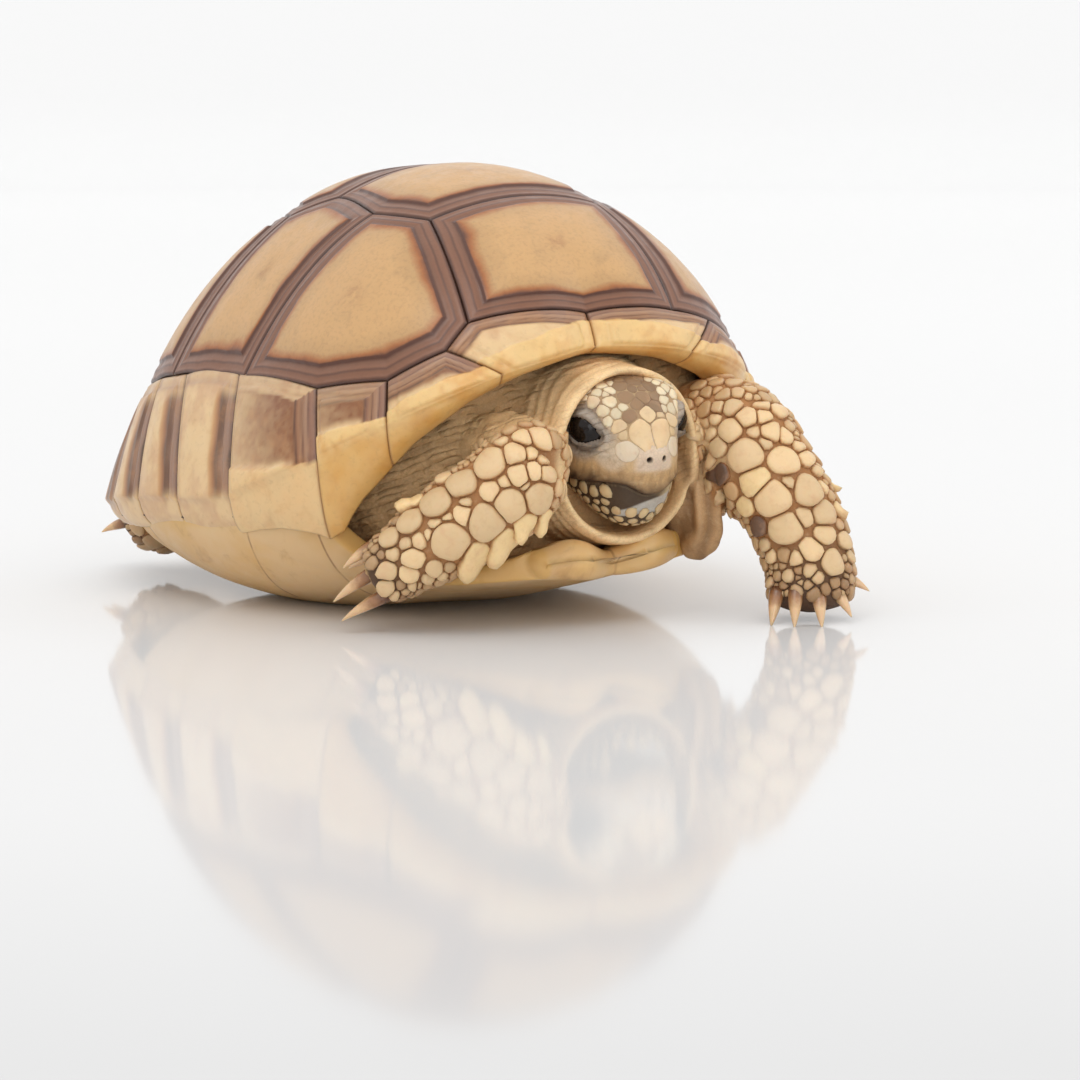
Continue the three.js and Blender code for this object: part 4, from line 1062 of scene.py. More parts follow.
@dataclass
class UpperShell:
    """The upper shell: a bed, thirteen large plates and twenty-three marginal ones."""

    form: ShellForm = field(default_factory=ShellForm)
    relief: PlateRelief = field(default_factory=PlateRelief)
    step: float = 0.24
    first_growths: tuple = (0, 0.02, 0.045, 0.075, 0.11)
    inners: tuple = (0.03, 0.07, 0.12, 0.19, 0.28, 0.38, 0.5, 0.62, 0.74, 0.86, 0.95)
    corners: tuple = (
        (0.188, -0.316), (0.242, -0.184), (0.225, 0.01), (0.272, 0.12), (0.2, 0.235), (0.225, 0.33), (0.13, 0.43),
    )
    costal_front: tuple = ((24.4, 0.76), (18.5, 0.82))
    costal_seams: tuple = (77.5, 108, 131, 158)
    rim_columns: int = 58
    rim_shares: tuple = (0, 0.012, 0.03, 0.055, *np.linspace(0.09, 0.97, 38), 0.985, 0.994)
    lip_rows: int = 22
    lip_step: float = 0.22
    rim_root: float = 0.9
    rim_hub_rows: int = 14
    rim_hub_depth: float = 1.6
    top_ring: float = 1.7
    rear_ring: float = 0.8
    bed_shares: tuple = (0.03, 0.15, 0.3, 0.45, 0.6, 0.72, 0.84, 0.93, 0.985)
    bed_inner_shares: tuple = (0.88, 0.7, 0.5, 0.3, 0.1)
    bed_depth: float = 0.5
    bed_inner_depth: float = 1.8

    def outlines(self) -> list:
        """Lists the large plates as (name, outline on the disk, ring widths)."""
        form = self.form

        def corner(index: int, side: int) -> np.ndarray:
            """Gives a corner between the middle and side plates."""
            return np.array([side * self.corners[index][0], self.corners[index][1]])

        def ring(turn: float, side: int) -> np.ndarray:
            """Gives a place on the seam of the marginal plates."""
            return form.on_disk(turn, form.ring_share(turn), side)

        def arc(start: float, end: float, side: int, steps: int) -> list:
            """Lists places along that seam."""
            return [ring(lerp(start, end, i / steps), side) for i in range(steps + 1)]

        def both(*sides: list) -> list:
            """Joins the right side's places to the left side's, taken backwards."""
            return [*sides[0], *sides[1][::-1]]

        def between(*indexes: int) -> list:
            """Lists the corners on both sides of a middle plate."""
            return both(*[[corner(i, s) for i in indexes] for s in (-1, 1)])

        first, second, third, last = self.costal_seams
        fronts = {-1: form.on_disk(*self.costal_front[0], -1), 1: form.on_disk(*self.costal_front[1], 1)}
        rear = both(*[[ring(form.rim_seams[-1], s), ring(last, s), corner(6, s)] for s in (-1, 1)])
        middles = [between(2, 1, 0), between(4, 3, 2), between(6, 5, 4), [ring(180, 1), *rear]]
        plates = [("middle", [corner(0, -1), fronts[-1], ring(0, 1), fronts[1], corner(0, 1)], RingWidths.FIRST)]
        plates += [("middle", outline, RingWidths.VERTEBRAL) for outline in middles]
        for side, name in ((-1, "right"), (1, "left")):
            marginals = [ring(turn, side) for turn, _ in form.ring_seams[1:4]][::-1]
            costals = [
                [corner(0, side), corner(1, side), ring(first, side), *marginals, fronts[side]],
                [corner(1, side), corner(2, side), corner(3, side), *arc(second, first, side, 3)],
                [corner(3, side), corner(4, side), corner(5, side), *arc(third, second, side, 2)],
                [corner(5, side), corner(6, side), *arc(last, third, side, 2)],
            ]
            plates += [(name, outline, RingWidths.COSTAL) for outline in costals]
        return plates

    def inner_outline(self, outline: np.ndarray, widths: RingWidths) -> np.ndarray:
        """Sets an outline in from each seam by the width of the rings there.

        Args:
            outline: The plate's corners on the disk, turning left.
            widths: The ring widths of this kind of plate.

        Returns:
            The corners of the pale middle on the disk.
        """
        front, rear, out, inn = widths.value
        places = self.form.dome(outline)
        normals = self.form.normal(outline)
        hub = outline.mean(0)
        count = len(outline)
        width = []
        for i in range(count):
            way = unit((outline[i] + outline[(i + 1) % count]) / 2 - hub)
            ahead = front if way[1] < 0 else rear
            aside = out if way[0] * np.sign(hub[0] + 1e-9) > 0 or abs(hub[0]) < 0.02 else inn
            width.append(ahead * way[1] ** 2 + aside * way[0] ** 2)
        inner = []
        for i in range(count):
            to_last = unit(places[i - 1] - places[i])
            to_next = unit(places[(i + 1) % count] - places[i])
            bend = float(np.dot(np.cross(to_next, to_last), normals[i]))
            if abs(bend) > 0.3:
                shift = (to_last * width[i] + to_next * width[i - 1]) / bend
            else:
                shift = unit(np.cross(normals[i], unit(to_next - to_last))) * (width[i] + width[i - 1]) / 2
            step = 0.003
            around = outline[i] + np.array([[step, 0], [-step, 0], [0, step], [0, -step]])
            near = self.form.dome(around)
            slope = np.stack([near[0] - near[1], near[2] - near[3]], -1) / (2 * step)
            inner.append(outline[i] + np.linalg.lstsq(slope, shift, rcond=None)[0])
        return np.array(inner)

    def plate(self, surface: Surface, outline: np.ndarray, widths: RingWidths, seed: int) -> None:
        """Adds one large plate to a surface.

        Args:
            surface: Where it goes.
            outline: Its corners on the disk.
            widths: Its kind of growth rings.
            seed: The number that varies it.
        """
        form, relief = self.form, self.relief
        x, y = outline[:, 0], outline[:, 1]
        if np.sum(x * np.roll(y, -1) - np.roll(x, -1) * y) < 0:
            outline = outline[::-1]
        inner = self.inner_outline(outline, widths)
        outer_line, inner_line = [], []
        for i in range(len(outline)):
            j = (i + 1) % len(outline)
            ends = form.dome(np.array([outline[i], outline[j]]))
            pieces = max(2, int(np.ceil(np.linalg.norm(ends[0] - ends[1]) / self.step)))
            share = (np.arange(pieces) / pieces)[:, None]
            outer_line.append(lerp(outline[i], outline[j], share))
            inner_line.append(lerp(inner[i], inner[j], share))
        outer_line, inner_line = np.concatenate(outer_line), np.concatenate(inner_line)
        around = len(outer_line)
        hub = inner_line.mean(0)
        width = np.linalg.norm(form.dome(outer_line) - form.dome(inner_line), axis=1)
        points, growth_values, spot_values = [], [], []
        rows = [(g, 0.0) for g in (*self.first_growths, *np.linspace(0.16, 1.0, 18))]
        rows += [(1.0, s) for s in self.inners]
        wander = grain(form.dome(outer_line), 5.0, seed)
        for growth, share in rows:
            disk = lerp(outer_line, inner_line, growth) if share == 0 else lerp(inner_line, hub, share)
            place = form.dome(disk)
            bent = growth + 0.05 * grain(place, 2.6, seed + 1) * smooth(growth, 0.1, 0.5) * (share == 0)
            raise_by = relief.height(growth * width, np.clip(bent, 0, 1), np.full(around, share))
            raise_by += 0.02 * grain(place, 1.6, seed + 2) * smooth(growth, 0.1, 0.4)
            points.append(place + form.normal(disk) * raise_by[:, None])
            growth_values.append(np.full(around, growth + share) + 0.05 * wander * growth)
            spot_values.append(np.full(around, 0.5 * smooth(share, 0.8, 0.97)))
        sunk = form.dome(lerp(outer_line, hub, 0.01))
        root = sunk - form.normal(outer_line) * relief.root
        top = form.dome(hub[None]) + form.normal(hub[None]) * (relief.step + relief.crown)
        under = form.dome(hub[None]) - form.normal(hub[None]) * relief.root
        count = around * len(rows)
        faces = grid_faces(len(rows), around, closed=True)
        faces += fan(count - around, around, count + around)
        faces += [(j, count + j, count + (j + 1) % around, (j + 1) % around) for j in range(around)]
        faces += fan(count, around, count + around + 1, turned_over=True)
        growth = np.concatenate([*growth_values, np.zeros(around), [2.0, 0.0]])
        spot = np.concatenate([*spot_values, np.zeros(around), [0.5, 0.0]])
        places = np.concatenate([*points, root, top, under])
        surface.add(form.tilt(places), faces, growth=growth, spot=spot)

    def upper_seam(self, index: int, side: int) -> tuple:
        """Lays out the seam over a marginal plate.

        Args:
            index: The plate's number from the front.
            side: -1 for the animal's right and 1 for its left.

        Returns:
            The turn of each of the plate's columns in degrees, and its place on the disk.
        """
        form = self.form
        share = np.linspace(0, 1, self.rim_columns)
        if index == self.tail_plate():
            turns = lerp(form.rim_seams[-1], 360 - form.rim_seams[-1], share)
            return turns, np.array([form.on_disk(t, form.ring_share(min(t, 360 - t)), 1) for t in turns])
        turns = lerp(form.rim_seams[index], form.rim_seams[index + 1], share)
        corners = [form.on_disk(*seam, side) for seam in form.ring_seams[index : index + 2]]
        if index == 0:
            corners.insert(1, form.on_disk(*self.costal_front[0 if side < 0 else 1], side))
        if index > 4:
            low, high = form.ring_seams[index][0], form.ring_seams[index + 1][0]
            corners = [form.on_disk(t, form.ring_share(t), side) for t in np.linspace(low, high, 4)]
        lengths = [0.0, *np.cumsum([np.linalg.norm(b - a) for a, b in zip(corners, corners[1:])])]
        way = share * lengths[-1]
        return turns, np.stack([np.interp(way, lengths, [c[k] for c in corners]) for k in (0, 1)], -1)

    def tail_plate(self) -> int:
        """Gives the number of the marginal plate over the tail, which has no twin."""
        return len(self.form.rim_seams) - 1

    def lip_line(self, rim: np.ndarray, angle: np.ndarray, inwards: float, down: float) -> np.ndarray:
        """Gives a line under the rim, by shares of how far its lip reaches inwards and drops."""
        inward = unit(np.stack([-rim[:, 0], self.form.crown_y - rim[:, 1], np.zeros(len(rim))], -1))
        drop, width = self.form.lip(angle)
        return rim + inward * (inwards * width)[:, None] - np.array([0, 0, down]) * drop[:, None]

    def sheet(self, index: int, side: int) -> tuple:
        """Lays out a marginal plate's outside, from its upper seam over the rim and round its lip.

        Args:
            index: The plate's number from the front.
            side: -1 for the animal's right and 1 for its left.

        Returns:
            A grid of points with the seam in its first row, and their outward normals.
        """
        form = self.form
        last = index == self.tail_plate()
        turns, top = self.upper_seam(index, side)
        rim_disk = np.array([form.on_disk(t, 1.0, 1 if last else side) for t in turns])
        angle = np.radians(np.where(turns > 180, 360 - turns, turns))
        rim = form.rim(angle, np.where(turns > 180, -1.0, 1.0) if last else np.full(len(turns), float(side)))
        end = self.lip_line(rim, angle, 1.0, 1.0)
        bulge = self.lip_line(rim, angle, 0.12, 0.7)
        rows = [form.dome(lerp(top, rim_disk, share)) for share in self.rim_shares]
        for t in np.linspace(0.0, 1.0, self.lip_rows):
            rows.append(rim * (1 - t) ** 2 + bulge * (2 * t * (1 - t)) + end * t * t)
        sheet = np.array(rows)
        normal = unit(np.cross(np.gradient(sheet, axis=0), np.gradient(sheet, axis=1)))
        middle = np.array([0, form.crown_y, 20.0])
        if ((sheet - middle) * normal).sum() < 0:
            normal = -normal
        return sheet, normal

    def rim_relief(self, index: int, points: np.ndarray, spans: tuple) -> np.ndarray:
        """Gives the relief of a marginal plate.

        Args:
            index: The plate's number from the front.
            points: Its points, one row each.
            spans: Distances to the front seam and the rear seam, down from the top seam and past the rim.

        Returns:
            The heights in millimetres.
        """
        relief = self.relief
        to_front, to_rear, down, past_rim = spans
        nearest = np.minimum(np.minimum(to_front, to_rear), down)
        warp = 0.3 * grain(points, 2.5, 50 + index).reshape(down.shape)
        front_ring = 2.0 if index < 4 else 1.6
        growth = np.minimum((to_front + warp) / front_ring, (down + warp) / self.top_ring)
        growth = np.clip(np.minimum(growth, to_rear / (1.5 if index < 2 else self.rear_ring)), 0, 1)
        inside = np.minimum(np.minimum(to_front - front_ring, down - self.top_ring), to_rear - self.rear_ring)
        lip = smooth(past_rim, -0.5, 0.5)
        raise_by = relief.height(nearest, growth * (1 - lip) + 0.7 * lip, smooth(inside, 0.0, 3.0) * (1 - lip))
        raise_by -= relief.step * lip
        raise_by += 0.75 * relief.seam_depth * np.exp(-((nearest / relief.seam_width) ** 1.2)) * lip
        if index < 4:
            raise_by += self.lip_step * smooth(-RimPattern().above(index, points, spans), -0.12, 0.2)
        return raise_by

    def marginal(self, surface: Surface, index: int, side: int) -> None:
        """Adds one marginal plate to a surface.

        Args:
            surface: Where it goes.
            index: Its number from the front.
            side: -1 for the animal's right and 1 for its left.
        """
        sheet, normal = self.sheet(index, side)
        rows, columns = sheet.shape[:2]
        rim_row = len(self.rim_shares)
        across = np.cumsum(np.linalg.norm(np.diff(sheet, axis=1, prepend=sheet[:, :1]), axis=2), axis=1)
        down = np.cumsum(np.linalg.norm(np.diff(sheet, axis=0, prepend=sheet[:1]), axis=2), axis=0)
        to_front, to_rear = across, across[:, -1:] - across
        if index == self.tail_plate():
            to_front = to_rear = np.minimum(to_front, to_rear)
        spans = (to_front, to_rear, down, down - down[rim_row : rim_row + 1])
        places = sheet.reshape(-1, 3)
        body = (sheet + normal * self.rim_relief(index, places, spans)[..., None]).reshape(-1, 3)
        colour = RimPattern().paint(index, places, spans).reshape(-1, 3)
        border = [*range(columns)]
        border += [i * columns + columns - 1 for i in range(1, rows)]
        border += [(rows - 1) * columns + j for j in range(columns - 2, -1, -1)]
        border += [i * columns for i in range(rows - 2, 0, -1)]
        root = body[border] - normal.reshape(-1, 3)[border] * self.rim_root
        hub_at = (rim_row - self.rim_hub_rows, columns // 2)
        hub = sheet[hub_at][None] - normal[hub_at][None] * self.rim_hub_depth
        flat, count = rows * columns, len(border)
        faces = grid_faces(rows, columns)
        faces += [(border[(k + 1) % count], border[k], flat + k, flat + (k + 1) % count) for k in range(count)]
        faces += fan(flat, count, flat + count, turned_over=True)
        if side > 0:
            faces = [face[::-1] for face in faces]
        edges = colour[border] * 0.6
        tones = np.concatenate([colour, edges, edges.mean(0)[None]])
        surface.add(self.form.tilt(np.concatenate([body, root, hub])), faces, tone=tones)

    def bed(self) -> Surface:
        """Makes the closed dome that the plates stand on."""
        form = self.form
        sectors = 120
        signed = -np.pi + 2 * np.pi * (np.arange(sectors) + 0.5) / sectors
        disk = np.stack([np.sin(signed), -np.cos(signed)], -1)
        angle = np.abs(signed)
        rim = form.rim(angle, np.sign(signed))
        inward = unit(np.stack([-rim[:, 0], form.crown_y - rim[:, 1], np.zeros(sectors)], -1))
        drop, width = form.lip(angle)
        lip = rim + inward * (width + 0.1)[:, None] - np.array([0, 0, 1.0]) * (drop - self.bed_depth)[:, None]
        rings = [form.dome(disk * share) - form.normal(disk * share) * self.bed_depth for share in self.bed_shares]
        rings += [self.lip_line(rim, angle, 0.45, 0.55), lip]
        for share in self.bed_inner_shares:
            rings.append(form.dome(disk * share) - form.normal(disk * share) * self.bed_inner_depth)
        ends = form.dome(np.zeros((1, 2)) + 1e-4)
        places = [*rings, ends - [0, 0, self.bed_depth], ends - [0, 0, self.bed_inner_depth]]
        surface = Surface()
        surface.add(form.tilt(np.concatenate(places)), hubbed(len(rings), sectors))
        return surface

    def build(self) -> None:
        """Makes all pieces of the upper shell and dresses them."""
        horn = PlateHorn().make()
        rim_horn = RimHorn().make()
        kinds = {"middle": Surface(), "right": Surface(), "left": Surface()}
        for seed, (name, outline, widths) in enumerate(self.outlines()):
            self.plate(kinds[name], np.array(outline), widths, 10 * seed)
        for name, surface in kinds.items():
            piece = piece_from(f"shell_plates_{name}", surface)
            outward(piece)
            finished(piece, horn, ("carapace",))
        for side, name in ((-1, "right"), (1, "left")):
            surface = Surface()
            for index in range(self.tail_plate()):
                self.marginal(surface, index, side)
            if side < 0:
                self.marginal(surface, self.tail_plate(), 1)
            piece = piece_from(f"rim_plates_{name}", surface)
            outward(piece)
            finished(piece, rim_horn, ("carapace",))
        bed = piece_from("shell_bed", self.bed())
        outward(bed)
        finished(bed, ShellBed().make(), ("carapace",))


# ---------- the lower shell ----------


@dataclass(frozen=True)
class BellyForm:
    """The belly plate: flat in the middle and turned up at its sides into the bridges."""

    shell: ShellForm = ShellForm()
    front_y: float = -33.2
    rear_y: float = 27.0
    gular_width: float = 7.6
    anal_width: float = 6.5
    lobe_front: float = 18.0
    lobe_rear: float = 18.5
    lobe_length: float = 15.0
    bridge_front_y: float = -18.9
    bridge_rear_y: float = 14.0
    bridge_blend: float = 2.2
    bridge_inset: float = 0.8
    bridge_below: float = 2.3
    keel: float = 0.9
    flat_half: float = 9.0
    low: float = -0.2
    front_rise: float = 5.4
    rear_rise: float = 6.2
    wall: float = 1.8
    fork_depth: float = 1.9
    fork_half: float = 2.6
    gular_back_y: float = -23.0
    gular_across: float = 4.4
    gular_spread: float = 4.2
    gular_height: float = 2.2

    def bridge_edge(self, y: np.ndarray) -> tuple:
        """Gives the bridge's outer edge beside a place: its distance from the middle and its height."""
        angle = np.radians(np.linspace(40, 150, 500))
        rim = self.shell.rim(angle, np.ones(500))
        there = np.clip(y, self.bridge_front_y, self.bridge_rear_y)
        x = np.interp(there, rim[:, 1], rim[:, 0])
        z = np.interp(there, rim[:, 1], rim[:, 2])
        return x - self.bridge_inset, z - self.bridge_below

    def half_width(self, y: np.ndarray) -> np.ndarray:
        """Gives half the width of the plate at places along the body."""
        towards_front = np.clip((y - self.front_y) / self.lobe_length, 0, 1) ** 0.7
        towards_rear = np.clip((self.rear_y - y) / self.lobe_length, 0, 1) ** 0.6
        front = lerp(self.gular_width, self.lobe_front, towards_front)
        rear = lerp(self.anal_width, self.lobe_rear, towards_rear)
        blend = self.bridge_blend
        bridge = smooth(y, self.bridge_front_y - blend, self.bridge_front_y + blend)
        bridge = bridge * (1 - smooth(y, self.bridge_rear_y - blend, self.bridge_rear_y + blend))
        return lerp(np.where(y < 0, front, rear), self.bridge_edge(y)[0], bridge)

    def rise(self, y: np.ndarray) -> np.ndarray:
        """Gives how far the plate's ends rise from its flat."""
        return self.front_rise * smooth(-y, 1, 38) ** 1.1 + self.rear_rise * smooth(y, 0, 34)

    def sheet(self, across: np.ndarray, y: np.ndarray) -> tuple:
        """Gives the outer surface and its outward normals.

        Args:
            across: Sideways shares from -1 to 1.
            y: Places along the body.

        Returns:
            The points and the normals, one row each.
        """
        edge_x, edge_z = self.bridge_edge(y)
        bend = edge_x - self.flat_half
        half_width = self.half_width(y)
        last_turn = np.arcsin(np.clip((half_width - self.flat_half) / bend, 0, 1))
        flat_width = np.minimum(half_width, self.flat_half)
        flat_share = flat_width / (flat_width + bend * last_turn)
        share = np.abs(across)
        turn = np.maximum(0, share - flat_share) / np.maximum(1 - flat_share, 1e-6) * last_turn
        x = flat_width * np.minimum(1, share / flat_share) + bend * np.sin(turn)
        lift = 1 - np.cos(turn)
        wing = edge_z * lift
        steep = edge_z * np.sin(turn)
        run = bend * np.cos(turn)
        wing = wing + self.keel * smooth(x, 0, 11)
        slope = (self.rise(y + 0.2) - self.rise(y - 0.2)) / 0.4
        normal = unit(np.stack([np.sign(across) * steep, slope * run, -run], -1))
        fork = self.fork_depth * np.exp(-((across * self.gular_width / self.fork_half) ** 2))
        at_front = smooth(-y, -self.front_y - 8, -self.front_y)
        at_rear = smooth(y, self.rear_y - 8, self.rear_y)
        rounded = 2.2 * across * across
        end = y + at_front * (fork + rounded) - at_rear * (1.4 * fork + rounded)
        return np.stack([np.sign(across) * x, end, self.low + self.rise(y) + wing], -1), normal

    def thickness(self, x: np.ndarray, y: np.ndarray) -> np.ndarray:
        """Gives the plate's thickness, which swells at the front end."""
        swell = np.exp(-(((np.abs(x) - self.gular_across) / self.gular_spread) ** 2))
        return self.wall + self.gular_height * swell * smooth(-y, -self.gular_back_y, -self.front_y)


@dataclass
class LowerShell:
    """The belly plate and its bridges, with rounded edges and seams."""

    form: BellyForm = field(default_factory=BellyForm)
    seams: BellySeams = field(default_factory=BellySeams)
    seam_depth: float = 0.1
    seam_width: float = 0.36
    outer_columns: int = 170
    inner_columns: int = 40
    end_reach: float = 0.8
    side_reach: float = 0.9
    cap_turns: tuple = (90, 66, 44, 22)

    def loop(self, y: float, angle: float, way: float) -> tuple:
        """Lays out one closed line round the plate: its outside, an edge, its inside and the other edge.

        Args:
            y: Where it is along the body.
            angle: How far the end of the plate is rounded there, in radians.
            way: -1 at the front end, 1 at the rear end and 0 between the two.

        Returns:
            The points, their places across the belly, and how far each is rolled over the edge.
        """
        form, wide = self.form, self.outer_columns
        outside = np.sin(np.linspace(-math.pi / 2, math.pi / 2, wide)) * 0.35 + np.linspace(-1, 1, wide) * 0.65
        across = np.concatenate([outside, np.linspace(1, -1, self.inner_columns)])
        place, normal = form.sheet(across, np.full(len(across), y))
        thick = form.thickness(place[:, 0], np.full(len(across), y))
        half = thick / 2
        depth = np.concatenate([np.zeros(wide), thick[wide:]])
        depth = half + (depth - half) * math.cos(angle)
        line = place - normal * depth[:, None]
        line[:, 1] += way * half * math.sin(angle) * self.end_reach
        outer = np.arange(len(across)) < wide
        seam = self.seams.distance(place[:, 0], y)
        strength = np.exp(-((seam / self.seam_width) ** 1.4)) * outer * math.cos(angle)
        line -= normal * (self.seam_depth * strength)[:, None]
        line += normal * (grain(place, 3.0, 5) * 0.05 * outer)[:, None]
        round_steps = np.linspace(0, math.pi, 7)[1:-1]
        ends = []
        for side in (1, -1):
            edge, edge_normal = form.sheet(np.array([side * 1.0, side * 0.985]), np.full(2, y))
            outwards = unit(edge[0] - edge[1])
            radius = form.thickness(edge[:1, 0], np.array([y]))[0] / 2
            steps = round_steps if side > 0 else round_steps[::-1]
            middle = edge[0] - edge_normal[0] * radius
            middle[1] += way * radius * math.sin(angle) * self.end_reach
            ends.append(
                middle
                + edge_normal[0] * (np.cos(steps) * radius * math.cos(angle))[:, None]
                + outwards * (np.sin(steps) * radius * self.side_reach * math.cos(angle))[:, None]
            )
        edge_x = np.full(len(round_steps), abs(place[0, 0]))
        edge_share = smooth(np.abs(across), 0.93, 0.99)
        full = np.ones(len(round_steps))
        return (
            np.concatenate([line[:wide], ends[0], line[wide:], ends[1]]),
            np.concatenate([place[:wide, 0], edge_x, place[wide:, 0], -edge_x]),
            np.concatenate([edge_share[:wide], full, edge_share[wide:], full]),
        )

    def build(self) -> None:
        """Makes the lower shell and dresses it."""
        form = self.form
        shares = [np.linspace(0, 0.3, 90), np.linspace(0.3, 0.7, 70)[1:], np.linspace(0.7, 1, 70)[1:]]
        caps = np.radians(self.cap_turns)
        rows = [(form.front_y, a, -1.0) for a in caps]
        rows += [(y, 0.0, 0.0) for y in lerp(form.front_y, form.rear_y, np.concatenate(shares))]
        rows += [(form.rear_y, a, 1.0) for a in caps[::-1]]
        points, x_values, rolled_values = zip(*[self.loop(*row) for row in rows])
        around = len(points[0])
        y_values = [np.full(around, row[0]) for row in rows]
        hubs = [points[0].mean(0), points[-1].mean(0)]
        surface = Surface()
        surface.add(
            form.shell.tilt(np.concatenate([*points, hubs])),
            hubbed(len(points), around),
            belly_x=np.concatenate([*x_values, [0.0, 0.0]]),
            belly_y=np.concatenate([*y_values, [form.front_y, form.rear_y]]),
            rolled=np.concatenate([*rolled_values, [0.0, 0.0]]),
        )
        piece = piece_from("belly_plate", surface)
        off_floor(piece)
        outward(piece)
        finished(piece, BellyHorn().make(self.seams), ("plastron",))


# ---------- limbs ----------


@dataclass(frozen=True)
class Limb:
    """A limb as a line of stations: each has its place and its half sizes, wide and deep."""

    name: str
    stations: tuple
    face: tuple
    elbow: int = 0
    claws: tuple = ()
    claw_radius: float = 0.9
    scaled_from: float = 0.06

    def span(self, t: np.ndarray) -> tuple:
        """Gives the station before each share of the way along, and the share past it."""
        place = np.clip(np.asarray(t, float), 0, 1) * (len(self.stations) - 1)
        low = np.minimum(np.floor(place).astype(int), len(self.stations) - 2)
        return low, place - low

    def line(self, t: np.ndarray) -> np.ndarray:
        """Gives points of the limb's middle line, a curve through its stations."""
        at = np.array([station[0] for station in self.stations], float)
        at = np.concatenate([[2 * at[0] - at[1]], at, [2 * at[-1] - at[-2]]])
        low, share = self.span(t)
        x0, x1, x2, x3 = (at[low + k] for k in range(4))
        d0, d1, d2 = (np.linalg.norm(b - a, axis=1) ** 0.5 for a, b in ((x0, x1), (x1, x2), (x2, x3)))
        d0, d1, d2 = d0[:, None], d1[:, None], d2[:, None]
        first = ((x1 - x0) / d0 - (x2 - x0) / (d0 + d1) + (x2 - x1) / d1) * d1
        second = ((x2 - x1) / d1 - (x3 - x1) / (d1 + d2) + (x3 - x2) / d2) * d1
        u = share[:, None]
        return x1 + first * u + (3 * (x2 - x1) - 2 * first - second) * u**2 + (2 * (x1 - x2) + first + second) * u**3

    def radii(self, t: np.ndarray) -> tuple:
        """Gives the two half sizes at shares of the way along."""
        low, share = self.span(t)
        mix = share * share * (3 - 2 * share)
        wide = np.array([station[1] for station in self.stations])
        deep = np.array([station[2] for station in self.stations])
        return lerp(wide[low], wide[low + 1], mix), lerp(deep[low], deep[low + 1], mix)

    def frame(self, t: np.ndarray) -> tuple:
        """Gives the directions along, outward and sideways at shares of the way along."""
        t = np.clip(np.asarray(t, float), 0, 1)
        along = unit(self.line(np.minimum(t + 1e-3, 1)) - self.line(np.maximum(t - 1e-3, 0)))
        face = unit(np.array(self.face, float))
        outward_way = unit(face - along * (along @ face)[:, None])
        return along, outward_way, np.cross(along, outward_way)

    def point(self, t: np.ndarray, angle: np.ndarray, raised: float = 0.0) -> np.ndarray:
        """Gives surface points for shares along and angles in degrees from the face."""
        t = np.atleast_1d(np.asarray(t, float))
        angle = np.radians(np.broadcast_to(np.asarray(angle, float), t.shape))
        _, out, aside = self.frame(t)
        wide, deep = self.radii(t)
        return (
            self.line(t)
            + out * (np.cos(angle) * (deep + raised))[:, None]
            + aside * (np.sin(angle) * (wide + raised))[:, None]
        )

    def lengths(self) -> list:
        """Lists the limb's straight-running lengths, which meet at its elbow."""
        if not self.elbow:
            return [self]
        parts = (self.stations[: self.elbow + 1], self.stations[self.elbow :])
        return [Limb(self.name, part, self.face) for part in parts]

    def body(self, grow: float, rings: int = 30, sides: int = 40) -> Surface:
        """Makes the limb as closed tubes with rounded ends, larger all round by grow."""
        surface = Surface()
        turns = np.arange(sides) * 360 / sides
        for part in self.lengths():
            rows = []
            for t, shares in ((0.0, (0.02, 0.4, 0.7, 0.9)), (1.0, (0.9, 0.7, 0.4, 0.02))):
                centre = part.line(np.array([t]))[0]
                along = part.frame(np.array([t]))[0][0] * (1 if t > 0.5 else -1)
                bulge = 0.55 * min(float(r[0]) for r in part.radii(np.array([t]))) + grow
                ring = part.point(np.full(sides, t), turns, grow)
                caps = [centre + (ring - centre) * k + along * bulge * math.sqrt(1 - k * k) for k in shares]
                rows.append(caps)
            middle = [part.point(np.full(sides, t), turns, grow) for t in np.linspace(0, 1, rings)]
            stack = [*rows[0], *middle, *rows[1]]
            surface.add(np.concatenate(stack), capped(len(stack), sides))
        return surface


